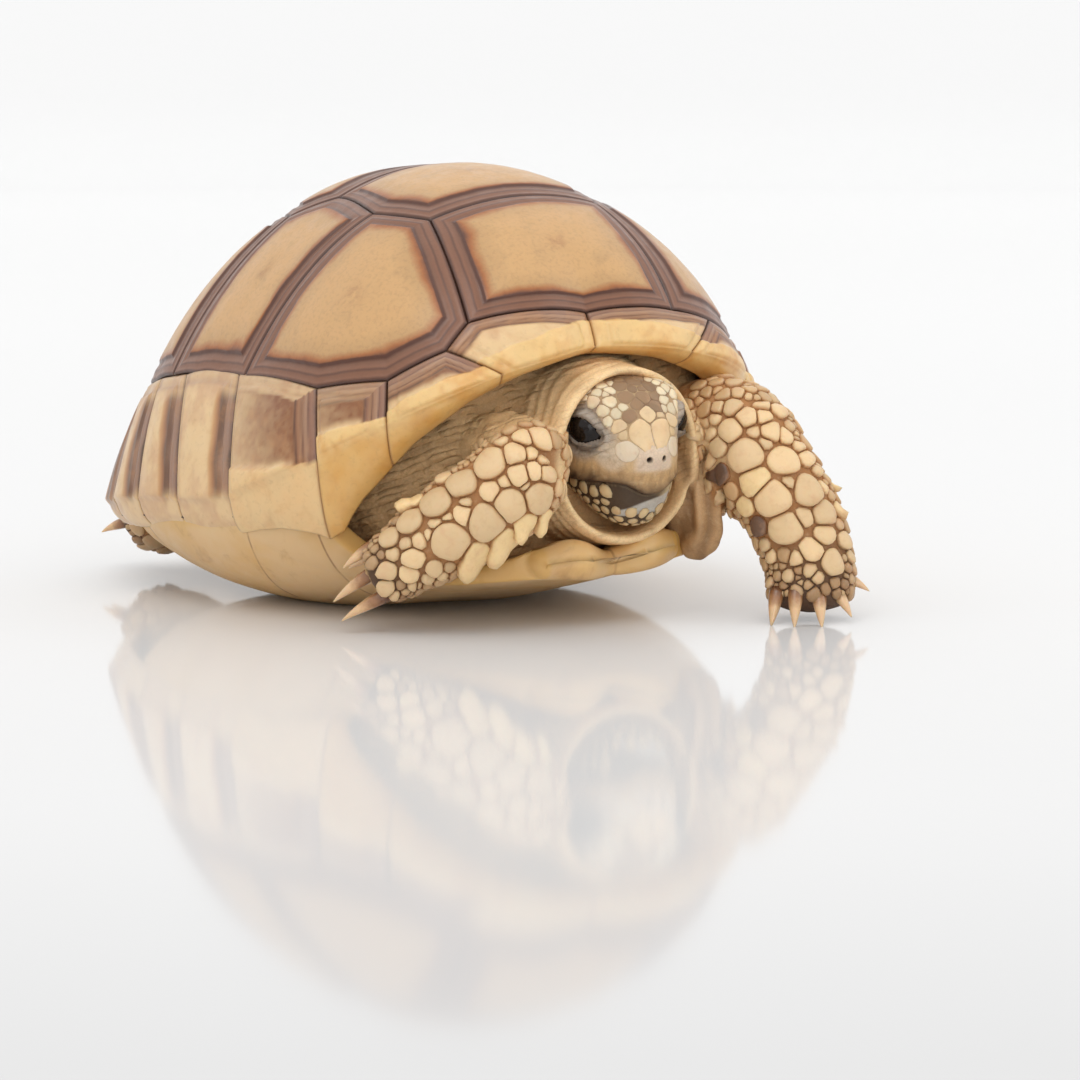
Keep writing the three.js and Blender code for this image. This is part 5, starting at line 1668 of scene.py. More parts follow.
class Limbs(Enum):
    """The four legs and the tail."""

    FORELEG_RIGHT = Limb(
        "foreleg_right",
        (
            ((-11.6, -23.5, 17.0), 3.3, 3.3), ((-10.6, -29.3, 17.8), 3.8, 3.6), ((-11.0, -32.9, 16.2), 4.7, 4.4),
            ((-12.6, -32.0, 14.1), 4.8, 4.4), ((-15.6, -29.9, 11.6), 4.7, 4.1), ((-18.3, -27.6, 9.1), 4.3, 3.6),
            ((-21.0, -25.3, 6.6), 3.5, 2.9), ((-22.3, -24.5, 5.6), 3.1, 2.5),
        ),
        (-0.35, -0.8, 0.35),
        2,
        (
            ((-20.8, -22.6, 5.2), (-21.8, -20.5, 4.1)), ((-21.6, -22.2, 7.2), (-23.3, -20.0, 5.8)),
            ((-22.9, -23.4, 8.0), (-25.3, -22.3, 6.2)), ((-23.6, -24.1, 5.4), (-26.4, -22.3, 3.0)),
            ((-22.7, -24.9, 3.3), (-25.9, -23.0, 1.2)),
        ),
        0.95,
        0.2,
    )
    FORELEG_LEFT = Limb(
        "foreleg_left",
        (
            ((13.2, -23.5, 17.4), 4.8, 4.7), ((13.7, -29.5, 18.7), 5.0, 4.8), ((14.6, -33.4, 17.9), 5.1, 4.9),
            ((15.2, -35.2, 14.8), 5.2, 4.9), ((16.6, -37.2, 11.8), 4.9, 4.6), ((17.5, -38.4, 8.6), 4.7, 4.3),
            ((18.0, -39.5, 5.2), 4.5, 4.0), ((17.9, -39.8, 2.6), 4.5, 3.9),
        ),
        (-0.25, -1.0, 0.3),
        2,
        (
            ((13.4, -40.2, 2.4), (12.2, -41.1, -0.2)), ((14.6, -41.8, 2.6), (13.5, -43.2, -0.2)),
            ((16.8, -42.7, 2.5), (15.8, -44.6, -0.2)), ((19.2, -42.4, 2.8), (19.2, -44.9, 0.7)),
            ((21.3, -41.0, 4.0), (22.8, -43.0, 2.8)),
        ),
        0.92,
    )
    HINDLEG_RIGHT = Limb(
        "hindleg_right",
        (
            ((-14.5, 21.0, 9.5), 5.2, 4.6), ((-17.0, 25.3, 7.0), 5.0, 4.2),
            ((-18.9, 28.0, 5.4), 4.3, 3.5), ((-19.8, 29.5, 4.6), 3.9, 2.7),
        ),
        (-0.5, 0.2, -0.8),
        0,
        (
            ((-17.4, 31.2, 5.0), (-17.5, 33.2, 4.4)), ((-19.2, 31.9, 5.0), (-19.7, 34.0, 4.3)),
            ((-20.9, 31.6, 4.9), (-22.0, 33.5, 4.1)), ((-22.3, 30.4, 4.8), (-23.9, 31.8, 4.0)),
        ),
        0.85,
    )
    HINDLEG_LEFT = Limb(
        "hindleg_left",
        (
            ((14.0, 21.0, 10.4), 5.2, 4.6), ((16.4, 25.3, 8.4), 5.0, 4.2),
            ((18.0, 28.0, 7.0), 4.3, 3.6), ((18.8, 29.6, 6.0), 3.9, 2.8),
        ),
        (0.5, 0.2, -0.8),
        0,
        (
            ((16.4, 31.2, 6.0), (16.5, 33.2, 5.3)), ((18.2, 31.9, 6.0), (18.6, 34.0, 5.2)),
            ((19.9, 31.6, 5.9), (20.9, 33.5, 5.1)), ((21.3, 30.4, 5.8), (22.8, 31.8, 5.0)),
        ),
        0.85,
    )
    TAIL = Limb(
        "tail",
        (
            ((0.0, 21.5, 7.4), 3.0, 2.6), ((-0.3, 25.5, 6.6), 2.4, 2.1),
            ((-1.0, 28.2, 5.3), 1.6, 1.4), ((-1.9, 30.0, 3.8), 0.8, 0.7),
        ),
        (0.0, 0.3, 1.0),
    )


@dataclass(frozen=True)
class Claws:
    """The claws of one foot, as curved cones with their roots in the toes."""

    limb: Limb
    sunk: float = 1.1
    arch: float = 0.3
    slim: float = 0.84
    sides: int = 18
    profile: tuple = (
        (0.0, 0.95), (0.15, 0.98), (0.3, 0.92), (0.45, 0.78), (0.6, 0.61), (0.74, 0.43), (0.86, 0.26), (0.95, 0.13),
    )

    def build(self, horn: bpy.types.Material) -> None:
        """Makes the foot's claws as one piece and dresses it."""
        surface = Surface()
        turns = np.arange(self.sides) * 2 * np.pi / self.sides
        for root, tip in self.limb.claws:
            tip_at, root_at = np.array(tip, float), np.array(root, float)
            root_at = root_at + unit(root_at - tip_at) * self.sunk
            middle = lerp(root_at, tip_at, 0.6) + np.array([0, 0, self.arch])
            rows, along_values = [], []
            for t, share in self.profile:
                centre = root_at * (1 - t) ** 2 + middle * (2 * t * (1 - t)) + tip_at * t * t
                along = unit((middle - root_at) * (1 - t) + (tip_at - middle) * t)
                aside = unit(np.cross(along, [0, 0, 1.0]))
                up = np.cross(aside, along)
                radius = self.limb.claw_radius * self.slim * share
                height = np.where(np.sin(turns) > 0, 0.95, 0.8) * radius
                ring = aside * (np.cos(turns) * radius)[:, None] + up * (np.sin(turns) * height)[:, None]
                rows.append(centre + ring)
                along_values.append(np.full(self.sides, t))
            count = self.sides * len(rows)
            faces = [*grid_faces(len(rows), self.sides, closed=True), tuple(range(self.sides))[::-1]]
            faces += fan(count - self.sides, self.sides, count)
            values = np.concatenate([*along_values, [1.0]])
            surface.add(np.concatenate([*rows, tip_at[None]]), faces, along=values)
        name = self.limb.name.replace("leg", "")
        piece = piece_from(f"claws_{name}", surface)
        off_floor(piece)
        outward(piece)
        nodes = tuple(f"claw_{name}_{i + 1}" for i in range(len(self.limb.claws)))
        finished(piece, horn, nodes)


# ---------- the head ----------


@dataclass
class HeadForm:
    """The head in its own frame, with the nose towards -Y, and its place in the world."""

    sections: tuple = (
        (8.2, 3.4, 2.2, -2.6), (6.0, 5.4, 3.9, -4.6), (3.0, 6.3, 4.9, -6.6), (0.0, 6.35, 5.3, -7.9),
        (-3.0, 5.6, 4.9, -8.8), (-5.4, 4.4, 3.6, -8.8), (-7.2, 3.3, 1.7, -8.0), (-8.1, 2.3, 0.5, -6.6),
        (-8.5, 1.2, -0.2, -4.7), (-8.62, 0.35, -1.4, -3.2),
    )
    nose: tuple = (0.8, -37.6, 15.7)
    nose_own: tuple = (0.0, -8.5, -1.2)
    pitch: float = 20.0
    roll: float = -3.0
    yaw: float = -3.5
    eye_centre: tuple = (4.3, -2.55, 1.0)
    eye_radius: float = 2.05
    eye_facing: tuple = (0.9, -0.42, 0.1)
    swells: tuple = (
        (0.75, (4.0, -2.6, 4.1), (2.6, 3.6, 2.4)), (0.35, (1.3, -6.3, 2.9), (1.5, 2.0, 1.8)),
        (0.4, (0.0, -8.1, 0.2), (2.2, 1.6, 1.5)), (0.55, (6.0, 2.8, -1.6), (2.6, 3.6, 3.6)),
        (0.2, (0.0, -8.4, -3.6), (2.6, 1.6, 1.6)),
    )
    mouth_reach: tuple = (-3.0, 0.5, 2.2, 3.4, 4.6, 6.0, 7.1, 7.9, 8.3, 8.5, 8.65)
    mouth_heights: tuple = (-5.0, -5.0, -4.8, -4.45, -4.0, -3.5, -3.2, -3.15, -3.45, -3.85, -4.1)
    columns: int = 230
    rows: int = 130

    def __post_init__(self) -> None:
        """Works out the head's turn and place."""
        self.spin = turned(self.pitch, self.roll, self.yaw)
        self.shift = np.array(self.nose) - self.spin @ np.array(self.nose_own)

    def world(self, points: np.ndarray) -> np.ndarray:
        """Brings points from the head's frame into the world."""
        return np.asarray(points) @ self.spin.T + self.shift

    def section(self, place: np.ndarray) -> np.ndarray:
        """Gives smooth sections for places counted along the list of sections."""
        table = np.array(self.sections, float)
        table = np.concatenate([[2 * table[0] - table[1]], table, [table[-1]]])
        low = np.minimum(np.floor(place).astype(int), len(self.sections) - 2)
        u = (place - low)[:, None]
        x0, x1, x2, x3 = (table[low + k] for k in range(4))
        first, second = (x2 - x0) / 2, (x3 - x1) / 2
        return x1 + first * u + (3 * (x2 - x1) - 2 * first - second) * u**2 + (2 * (x1 - x2) + first + second) * u**3

    def eye_frame(self, side: int) -> tuple:
        """Gives an eye's centre and its outward, backward and upward directions."""
        mirror = np.array([side, 1.0, 1.0])
        out = unit(np.array(self.eye_facing) * mirror)
        back = unit(np.array([0.0, 1.0, 0.0]) - out * out[1])
        up = np.cross(out, back) * side
        if up[2] < 0:
            up = -up
        return np.array(self.eye_centre) * mirror, out, back, up

    @staticmethod
    def swell(points: np.ndarray, at: tuple, size: tuple) -> np.ndarray:
        """Gives a soft bump, 1 at a centre and 0 beyond its size, on both sides of the head."""
        both = np.stack([np.abs(points[:, 0]), points[:, 1], points[:, 2]], -1)
        away = np.linalg.norm((both - np.array(at)) / np.array(size), axis=1)
        return 1 - smooth(away, 0.0, 1.0)

    def shaped(self, points: np.ndarray, normals: np.ndarray) -> np.ndarray:
        """Adds the head's forms to its smooth surface.

        Args:
            points: Places on the smooth surface.
            normals: Their outward normals.

        Returns:
            The shaped points.
        """
        x, y, z = points.T
        mouth = self.mouth_line(y)
        lift = sum(height * self.swell(points, at, size) for height, at, size in self.swells)
        front = smooth(-y, -1.5, 2.0)
        corner = smooth(-y, -0.6, 0.6)
        lift -= 0.55 * np.exp(-((np.abs(z - mouth) / 0.26) ** 2)) * corner
        lift -= 0.35 * smooth(mouth - z, 0.0, 0.4) * front
        lift += 0.16 * np.exp(-(((z - mouth - 0.55) / 0.4) ** 2)) * front
        ridges = np.sin(np.arctan2(x, -y + 2) * 70 + 5.0 * grain(points, 1.6, 4))
        ridges = ridges * (0.6 + 0.6 * grain(points, 1.2, 9))
        beak = smooth(-z, 2.0, 3.6) * smooth(z - mouth, 0.1, 0.5) * front
        lift += 0.022 * ridges * beak
        lift += 0.07 * grain(points, 0.75, 21) * smooth(y, -5.0, 1.0)
        return points + normals * lift[:, None]

    def mouth_line(self, y: np.ndarray) -> np.ndarray:
        """Gives the height of the mouth's line along the head, hooked down at the beak."""
        return np.interp(-y, self.mouth_reach, self.mouth_heights)

    def lidded(self, points: np.ndarray) -> tuple:
        """Draws the skin into lids round both eyes.

        Args:
            points: The shaped surface.

        Returns:
            The points, and for each one how near it is to an eye's opening.
        """
        result = points.copy()
        near = np.zeros(len(points))
        for side in (-1, 1):
            centre, out, back, up = self.eye_frame(side)
            away = points - centre
            depth, s, t = away @ out, away @ back, away @ up
            flat = np.hypot(s, t)
            around = smooth(flat, 3.9, 2.2) * smooth(depth, -0.6, 0.4)
            upper = 1.22 - 0.3 * np.clip(s / 1.9, -1, 1) ** 2
            lower = 1.02 - 0.2 * np.clip(s / 1.9, -1, 1) ** 2
            high = np.where(t > 0, upper, lower)
            almond = np.hypot(s / 1.84, t / high)
            radius = self.eye_radius
            ball = np.sqrt(np.maximum(radius**2 - np.minimum(flat, radius * 0.97) ** 2, 0.02))
            lid = ball + 0.16 + 0.3 * smooth(almond, 1.0, 1.35) - 0.12 * smooth(almond, 1.35, 1.6)
            lid += 0.16 * smooth(almond, 1.62, 1.85) - 0.14 * smooth(almond, 1.9, 2.2)
            lid += 0.1 * smooth(almond, 2.2, 2.5)
            hollow = ball - 0.55
            target = np.where(almond < 1.0, hollow, lid)
            wanted = centre + out * target[:, None] + back * s[:, None] + up * t[:, None]
            result += (wanted - points) * around[:, None]
            near = np.maximum(near, smooth(almond - 0.9 * smooth(-t, 0.4, 1.8), 2.6, 1.0) * (depth > -0.5))
        return result, near

    def surface(self) -> tuple:
        """Makes the head's closed skin in its own frame.

        Returns:
            The points, the faces, the smooth places they came from and their nearness to the eyes.
        """
        place = np.concatenate([np.linspace(0, 3, 30)[:-1], np.linspace(3, len(self.sections) - 1, self.rows - 29)])
        rows = self.section(place)
        turn = 2 * np.pi * (np.arange(self.columns) + 0.5) / self.columns
        s, c = np.sin(turn), np.cos(turn)
        middle = lerp(rows[:, 3], rows[:, 2], 0.52)
        x = np.sign(s) * np.abs(s) ** 0.85 * rows[:, 1:2]
        reach = np.where(c > 0, rows[:, 2:3] - middle[:, None], middle[:, None] - rows[:, 3:4])
        z = middle[:, None] + np.sign(c) * np.abs(c) ** 0.9 * reach
        y = np.broadcast_to(rows[:, 0:1], x.shape)
        sheet = np.stack([x, y, z], -1)
        wrap = np.concatenate([sheet[:, -1:], sheet, sheet[:, :1]], 1)
        normal = unit(np.cross(np.gradient(sheet, axis=0), (wrap[:, 2:] - wrap[:, :-2]) / 2))
        centre = np.stack([np.zeros(len(rows)), rows[:, 0] + 1.0, middle], -1)[:, None]
        if ((sheet - centre) * normal).sum() < 0:
            normal = -normal
        smooth_places = sheet.reshape(-1, 3)
        shaped = self.shaped(smooth_places, normal.reshape(-1, 3))
        lidded, near = self.lidded(shaped)
        ends = np.array([[0, 8.6, -0.2], [0, -8.66, -2.2]])
        return (
            np.concatenate([lidded, ends]),
            hubbed(len(rows), self.columns),
            np.concatenate([smooth_places, ends]),
            np.concatenate([near, [0, 0]]),
        )


@dataclass
class Eyes:
    """The two eyes, as balls with a slight bulge in front."""

    head: HeadForm
    clearance: float = 0.04
    bulge: float = 0.1

    def build(self) -> None:
        """Makes both eyes and dresses them."""
        glass = EyeGlass().make()
        radius = self.head.eye_radius - self.clearance
        for side, name in ((-1, "right"), (1, "left")):
            centre, out, _, _ = self.head.eye_frame(side)
            bpy.ops.object.select_all(action="DESELECT")
            bpy.ops.mesh.primitive_uv_sphere_add(segments=48, ring_count=32, radius=radius)
            eye = bpy.context.active_object
            eye.name = f"eye_ball_{name}"
            points = points_of(eye)
            points += out * (self.bulge * smooth(points @ out, 0.8, 1.75))[:, None]
            set_points(eye, self.head.world(points + centre))
            finished(eye, glass, (f"eye_{name}",))


# ---------- the skin ----------


class SkinTone(Palette):
    """Colours of the skin, from 0 to 255, including painted shade for the troughs of folds and creases and the inside
    of the collar.
    """

    TORSO = (214, 176, 126)
    TORSO_CREASE_SHADE = (132, 96, 60)
    NECK = (240, 206, 156)
    NECK_SHADE = (200, 152, 98)
    FOLD = (190, 150, 108)
    PLEAT_SHADE = (112, 78, 48)
    LEG = (176, 124, 76)
    FOOT = (92, 66, 46)
    HEAD = (206, 172, 128)
    HEAD_BROWN = (128, 96, 72)
    STAIN = (62, 42, 27)
    BEAK = (198, 160, 112)
    BEAK_BAND = (118, 90, 58)
    BEAK_EDGE = (190, 184, 174)
    LORE = (214, 194, 168)
    NOSE = (226, 204, 182)
    NOSTRIL_SHADE = (36, 24, 20)
    LID = (178, 168, 156)
    LID_RIM = (60, 46, 38)
    JAW = (206, 184, 142)


@dataclass
class Skin:
    """One skin over the neck, the legs, the tail, the body inside the shell and the head."""

    head: HeadForm
    inset: float = 0.25
    voxel: float = 0.36
    collar: tuple = (
        (-21.0, 1.2), (-25.8, 1.14), (-27.2, 1.09), (-28.5, 1.05), (-29.8, 1.02), (-31.0, 1.005), (-32.0, 1.0),
        (-32.6, 0.995), (-33.05, 0.985), (-33.25, 0.965), (-33.3, 0.945), (-33.25, 0.925), (-33.05, 0.905),
        (-32.6, 0.89), (-31.5, 0.87), (-30.5, 0.86), (-29.4, 0.83), (-28.4, 0.8),
    )
    collar_middle: tuple = (0.65, 16.7)
    collar_half: tuple = (8.6, 8.9)
    fold_at: tuple = (10.8, -30.2, 11.2)
    fold_size: tuple = (2.6, 4.0, 5.8)
    pleat_way: tuple = (0.84, -0.54)
    line_way: tuple = (0.21, -0.27, -0.94)
    ripple: float = 1.9
    neck_ripple: float = 1.15
    lore_at: tuple = (-3.6, -6.0, -0.6)
    lore_size: tuple = (1.8, 1.8, 1.5)
    nostril_at: tuple = (0.8, -8.55, -0.1)

    def collar_surface(self) -> Surface:
        """Makes the neck's rolled collar, with a hollow for the head."""
        sides = 90
        turn = 2 * np.pi * np.arange(sides) / sides
        rings = []
        for number, (y, share) in enumerate(self.collar):
            wave = 0.1 * np.sin(3 * turn + 0.7 * number) * (number > 1)
            x = self.collar_middle[0] + np.sin(turn) * (self.collar_half[0] * share - 0.1 + wave)
            z = self.collar_middle[1] + np.cos(turn) * (self.collar_half[1] * share - 0.1 + wave)
            rings.append(np.stack([x, np.full(sides, y), z], -1))
        surface = Surface()
        surface.add(np.concatenate(rings), capped(len(rings), sides))
        return surface

    @staticmethod
    def ball(at: tuple, size: tuple) -> Surface:
        """Makes an egg-shaped form."""
        rows, sides = 20, 28
        turn = 2 * np.pi * np.arange(sides) / sides
        rings = []
        for i in range(1, rows):
            polar = np.pi * i / rows
            level = np.full(sides, np.cos(polar))
            ring = np.stack([np.sin(polar) * np.cos(turn), np.sin(polar) * np.sin(turn), level], -1)
            rings.append(np.array(at) + ring * np.array(size))
        surface = Surface()
        surface.add(np.concatenate(rings), capped(len(rings), sides))
        return surface

    def torso(self) -> bpy.types.Object:
        """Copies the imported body, merged and brought to millimetres."""
        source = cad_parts["torso"]
        copy = bpy.data.objects.new("skin_torso", source.data.copy())
        bpy.context.scene.collection.objects.link(copy)
        copy.data.transform(Matrix.Scale(1 / MM, 4))
        alone(copy)
        bpy.ops.object.mode_set(mode="EDIT")
        bpy.ops.mesh.select_all(action="SELECT")
        bpy.ops.mesh.remove_doubles(threshold=0.002)
        bpy.ops.mesh.normals_make_consistent(inside=False)
        bpy.ops.object.mode_set(mode="OBJECT")
        copy.data.materials.clear()
        return copy

    def body(self) -> bpy.types.Object:
        """Joins the body's forms into one closed skin by remeshing."""
        parts = [self.torso(), piece_from("skin_collar", self.collar_surface())]
        parts.append(piece_from("skin_fold", self.ball(self.fold_at, self.fold_size)))
        for limb in Limbs:
            parts.append(piece_from(f"skin_{limb.value.name}", limb.value.body(-self.inset)))
        for part in parts[1:]:
            outward(part)
        bpy.ops.object.select_all(action="DESELECT")
        for part in parts:
            part.select_set(True)
        bpy.context.view_layer.objects.active = parts[0]
        bpy.ops.object.join()
        body = bpy.context.active_object
        body.name = "skin"
        modified(body, "REMESH", mode="VOXEL", voxel_size=self.voxel, adaptivity=0.0)
        modified(body, "SMOOTH", factor=0.5, iterations=5)
        return body

    def limb_shares(self, points: np.ndarray) -> tuple:
        """Gives for each point how far it belongs to a leg or the tail, and how far to its foot."""
        legs, feet = np.zeros(len(points)), np.zeros(len(points))
        steps = 40
        shares = np.linspace(0, 1, steps + 1)
        for limb in Limbs:
            tree = point_tree(limb.value.line(shares))
            wide = limb.value.radii(shares)[0]
            close = np.array([(find[1], find[2]) for find in (tree.find(Vector(p)) for p in points)])
            reach = close[:, 1] - wide[close[:, 0].astype(int)]
            start = steps * limb.value.scaled_from
            on_limb = smooth(reach, 1.2, 0.4) * (np.abs(points[:, 1]) > 25.0)
            on_limb = on_limb * smooth(close[:, 0], start, start + 2.5)
            legs = np.maximum(legs, on_limb)
            feet = np.maximum(feet, on_limb * smooth(close[:, 0], 26, 40))
        return legs, feet

    def dress_body(self, body: bpy.types.Object) -> None:
        """Adds folds to the body's skin and colours it, with painted shade in the troughs of its folds and creases
        and inside the collar.
        """
        points, normals = points_of(body), normals_of(body)
        x, y, z = points.T
        (middle_x, middle_z), (half_x, half_z) = self.collar_middle, self.collar_half
        ring = np.hypot((x - middle_x) / half_x, (z - middle_z) / half_z)
        neck = smooth(-y, 26.3, 28.0) * smooth(ring, 1.22, 1.06)
        warp = 1.1 * grain(points, 4.0, 31)
        folds = np.sin((y + warp) * 2 * np.pi / self.neck_ripple) * smooth(-y, 25.0, 27.0) * smooth(-y, 32.6, 31.2)
        legs, feet = self.limb_shares(points)
        torso = (1 - neck) * (1 - legs)
        fold_at, fold_size = np.array(self.fold_at), np.array(self.fold_size)
        hanging = smooth(np.linalg.norm((points - fold_at) / (fold_size + 0.6), axis=1), 1.25, 1.0)
        across, ahead, up = self.line_way
        lines = across * x + ahead * y + up * z + 0.9 * grain(points, 3.5, 38)
        lines = np.sin(lines * 2 * np.pi / self.ripple)
        pleats = x * self.pleat_way[0] + y * self.pleat_way[1] + 0.8 * grain(points, 3.0, 36)
        pleats = np.sin(pleats * 2 * np.pi / self.ripple)
        opening = torso * smooth(-y, 12.0, 16.0) * (1 - hanging)
        lift = 0.13 * folds * neck
        lift += 0.09 * lines * opening
        lift += 0.12 * grain(points, 1.1, 33) * torso + 0.08 * grain(points, 0.6, 34) * torso
        lift += 0.06 * grain(points, 0.8, 35) * legs
        lift += 0.5 * hanging * smooth(z, fold_at[2] - fold_size[2], fold_at[2] - 2.5) * pleats
        moved = points + normals * lift[:, None]
        moved[:, 2] = np.maximum(moved[:, 2], 0.02)
        set_points(body, moved)
        # The wrinkle mask carries the material's crease bumps and the painted shade in their troughs.
        paint(body, "wrinkle", np.clip(opening + 0.3 * neck, 0, 1))
        bare = 1 - legs
        # The inside of the collar's opening, which gets painted shade below.
        inside = smooth(ring, 0.93, 0.86) * smooth(-y, 27.0, 28.0)
        colour = np.broadcast_to(SkinTone.TORSO.linear(), points.shape).copy()
        for name, share in (
            (SkinTone.LEG, legs),
            (SkinTone.FOOT, feet),
            (SkinTone.NECK, neck),
            # Painted shade in the troughs of the torso's wrinkle lines.
            (SkinTone.TORSO_CREASE_SHADE, 0.18 * opening * smooth(lines, 0.2, -1.0)),
            # Painted shade in the troughs of the neck's folds and inside the collar's opening.
            (SkinTone.NECK_SHADE, neck * smooth(folds, 0.0, -1.0) * 0.3),
            (SkinTone.NECK_SHADE, 0.7 * inside * bare),
            (SkinTone.FOLD, 0.8 * hanging * bare),
            # Painted shade in the troughs of the hanging fold's pleats.
            (SkinTone.PLEAT_SHADE, 0.5 * hanging * bare * smooth(pleats, 0.1, -0.9)),
        ):
            colour = tinted(colour, name.linear(), share)
        paint(body, "tone", colour * (1 + 0.12 * grain(points, 2.2, 37))[:, None])

    def head_piece(self) -> bpy.types.Object:
        """Makes the head's skin in the world and colours it."""
        points, faces, base, near = self.head.surface()
        x, y, z = base.T
        mouth = self.head.mouth_line(y)
        front = smooth(-y, -1.0, 2.5)
        mottled = smooth(grain(base, 1.5, 41) + 0.4 * grain(base, 0.7, 42), -0.5, 0.5)
        beak = front * smooth(z - mouth, 0.0, 0.3) * smooth(z, -1.0, -2.0)
        streak = smooth(np.sin(np.arctan2(x, -y + 2) * 62 + 2.0 * grain(base, 1.3, 4)), 0.2, -0.9)
        jaw = smooth(mouth - z, 0.0, 0.3)
        bite = z + 5.4 + 0.24 * (x - 1.0) ** 2 * (x < 1.0) * 0.35
        rim = smooth(np.abs(bite) - 0.12 * (x + 3.0), 0.55, 0.3) * smooth(-y, 6.2, 7.0) * smooth(x, -3.4, -2.6)
        lip = np.exp(-(((z - mouth) / (0.42 + 0.3 * (z > mouth))) ** 2)) * smooth(-y, -1.5, 0.5)
        blotch = smooth(grain(base, 1.5, 43) + 0.5 * grain(base, 0.6, 45), -0.2, 0.5)
        cheek = smooth(y, -6.6, -4.6)
        band = smooth(z - mouth + 0.35 * grain(base, 0.8, 46), 1.7 + 0.4 * cheek, 0.4)
        band = band * smooth(z - mouth, -0.3, 0.0) * front
        stain = np.maximum(lip, band * np.clip(0.3 * blotch + 0.75 * cheek, 0, 1))
        stain = np.maximum(stain, jaw * smooth(x + 0.5 * grain(base, 0.9, 47), 3.2, 0.2))
        lid = np.minimum(1.3 * near, 1.0) * (0.85 + 0.15 * grain(base, 0.5, 44))
        lore_away = np.linalg.norm((base - np.array(self.lore_at)) / np.array(self.lore_size), axis=1)
        nose = smooth(np.abs(x), 2.4, 1.6) * smooth(-y, 6.6, 7.3) * smooth(z, -1.6, -1.0)
        colour = np.broadcast_to(SkinTone.HEAD.linear(), points.shape).copy()
        for name, share in (
            (SkinTone.HEAD_BROWN, smooth(z, 1.5, 3.5) * (0.35 + 0.6 * mottled)),
            (SkinTone.BEAK, beak),
            (SkinTone.STAIN, 0.16 * beak * streak),
            (SkinTone.JAW, jaw),
            (SkinTone.BEAK_BAND, 0.85 * band * (0.6 + 0.4 * blotch)),
            (SkinTone.STAIN, 0.95 * stain),
            (SkinTone.BEAK_EDGE, rim),
            (SkinTone.LID, np.clip(lid, 0, 1)),
            (SkinTone.LID_RIM, smooth(near, 0.8, 1.0) * 0.6),
            (SkinTone.LORE, 0.7 * smooth(lore_away, 1.15, 0.6)),
            (SkinTone.NOSE, 0.8 * nose),
        ):
            colour = tinted(colour, name.linear(), share)
        for side in (-1, 1):
            # Painted shade: each nostril is a shallow dimple coloured near-black, as the shade inside a hole.
            hole = np.linalg.norm(base - np.array(self.nostril_at) * (side, 1, 1), axis=1)
            colour = tinted(colour, SkinTone.NOSTRIL_SHADE.linear(), smooth(hole, 0.4, 0.22))
            points = points + np.array([0, 1.0, 0])[None] * (0.5 * smooth(hole, 0.38, 0.15))[:, None]
        surface = Surface()
        # Where the material draws creases, with painted shade in their troughs.
        creased = 0.9 * near + 0.5 * beak * smooth(z - mouth, 1.6, 0.2)
        surface.add(self.head.world(points), faces, tone=colour, wrinkle=np.clip(creased, 0, 1))
        piece = piece_from("skin_head", surface)
        outward(piece)
        return piece

    def build(self) -> bpy.types.Object:
        """Makes the whole skin, dresses it and gives it back."""
        body = self.body()
        self.dress_body(body)
        head = self.head_piece()
        bpy.ops.object.select_all(action="DESELECT")
        head.select_set(True)
        body.select_set(True)
        bpy.context.view_layer.objects.active = body
        bpy.ops.object.join()
        return body


def surface_tree(piece: bpy.types.Object) -> BVHTree:
    """Makes a tree that finds the nearest point on a piece that is in millimetres."""
    faces = [tuple(face.vertices) for face in piece.data.polygons]
    return BVHTree.FromPolygons([tuple(p) for p in points_of(piece)], faces)


# ---------- scales ----------


class ScaleTone(Palette):
    """Colours of the horny scales and of the skin in their grooves, from 0 to 255."""

    PALE = (226, 194, 148)
    STRAW = (238, 206, 152)
    TAN = (196, 158, 112)
    BROWN = (146, 108, 74)
    DARK = (108, 82, 66)
    BONE = (236, 212, 176)
    PEACH = (230, 194, 150)
    CHALK = (220, 196, 168)
    JAW = (214, 184, 138)
    CROWN = (160, 124, 90)
    GROOVE = (182, 126, 78)
    FOOT_GROOVE = (84, 58, 40)
    HEAD_GROOVE = (184, 150, 112)
    CROWN_GROOVE = (146, 112, 82)
    JAW_GROOVE = (52, 34, 20)


class ScaleKind(Enum):
    """The kinds of large scales, each with its colour and how far it draws out to a point."""

    PLAIN = (ScaleTone.PALE, 0.0)
    POINTED = (ScaleTone.STRAW, 1.0)
    YELLOW = (ScaleTone.STRAW, 0.0)
    DARK = (ScaleTone.DARK, 0.0)


@dataclass
class Spots:
    """Places on the skin where scales stand, with what each scale is like."""

    place: list = field(default_factory=list)
    radius: list = field(default_factory=list)
    height: list = field(default_factory=list)
    lean: list = field(default_factory=list)
    tilt: list = field(default_factory=list)
    colour: list = field(default_factory=list)
    groove: list = field(default_factory=list)
    unwrap: list = field(default_factory=list)

    def add(self, place: np.ndarray, radius: float, height: float, lean: tuple, *looks: np.ndarray) -> None:
        """Adds one scale.

        Args:
            place: Its middle.
            radius: Half its width.
            height: How far it stands up.
            lean: The way and the length by which it draws out to a point, and the way it stands up more.
            looks: Its colour, its groove's colour and its place on the unwrapped skin.
        """
        colour, groove, unwrap = looks
        self.place.append(place)
        self.radius.append(radius)
        self.height.append(height)
        self.lean.append(lean[0])
        self.tilt.append(lean[1])
        self.colour.append(colour)
        self.groove.append(groove)
        self.unwrap.append(unwrap)

    def fits(self, place: np.ndarray, radius: float, closeness: float, clear: float = 0.0) -> bool:
        """Tells whether a scale has room among those already there.

        Args:
            place: Its middle.
            radius: Half its width.
            closeness: The least distance, in parts of the two half widths together.
            clear: The part of a large scale's half width that is kept free round it as well.

        Returns:
            True when there is room.
        """
        if not self.place:
            return True
        away = np.linalg.norm(np.array(self.place) - place, axis=1)
        others = np.array(self.radius)
        kept = clear * others * (others > 0.8)
        return bool(np.all(away > closeness * (others + radius) + kept))


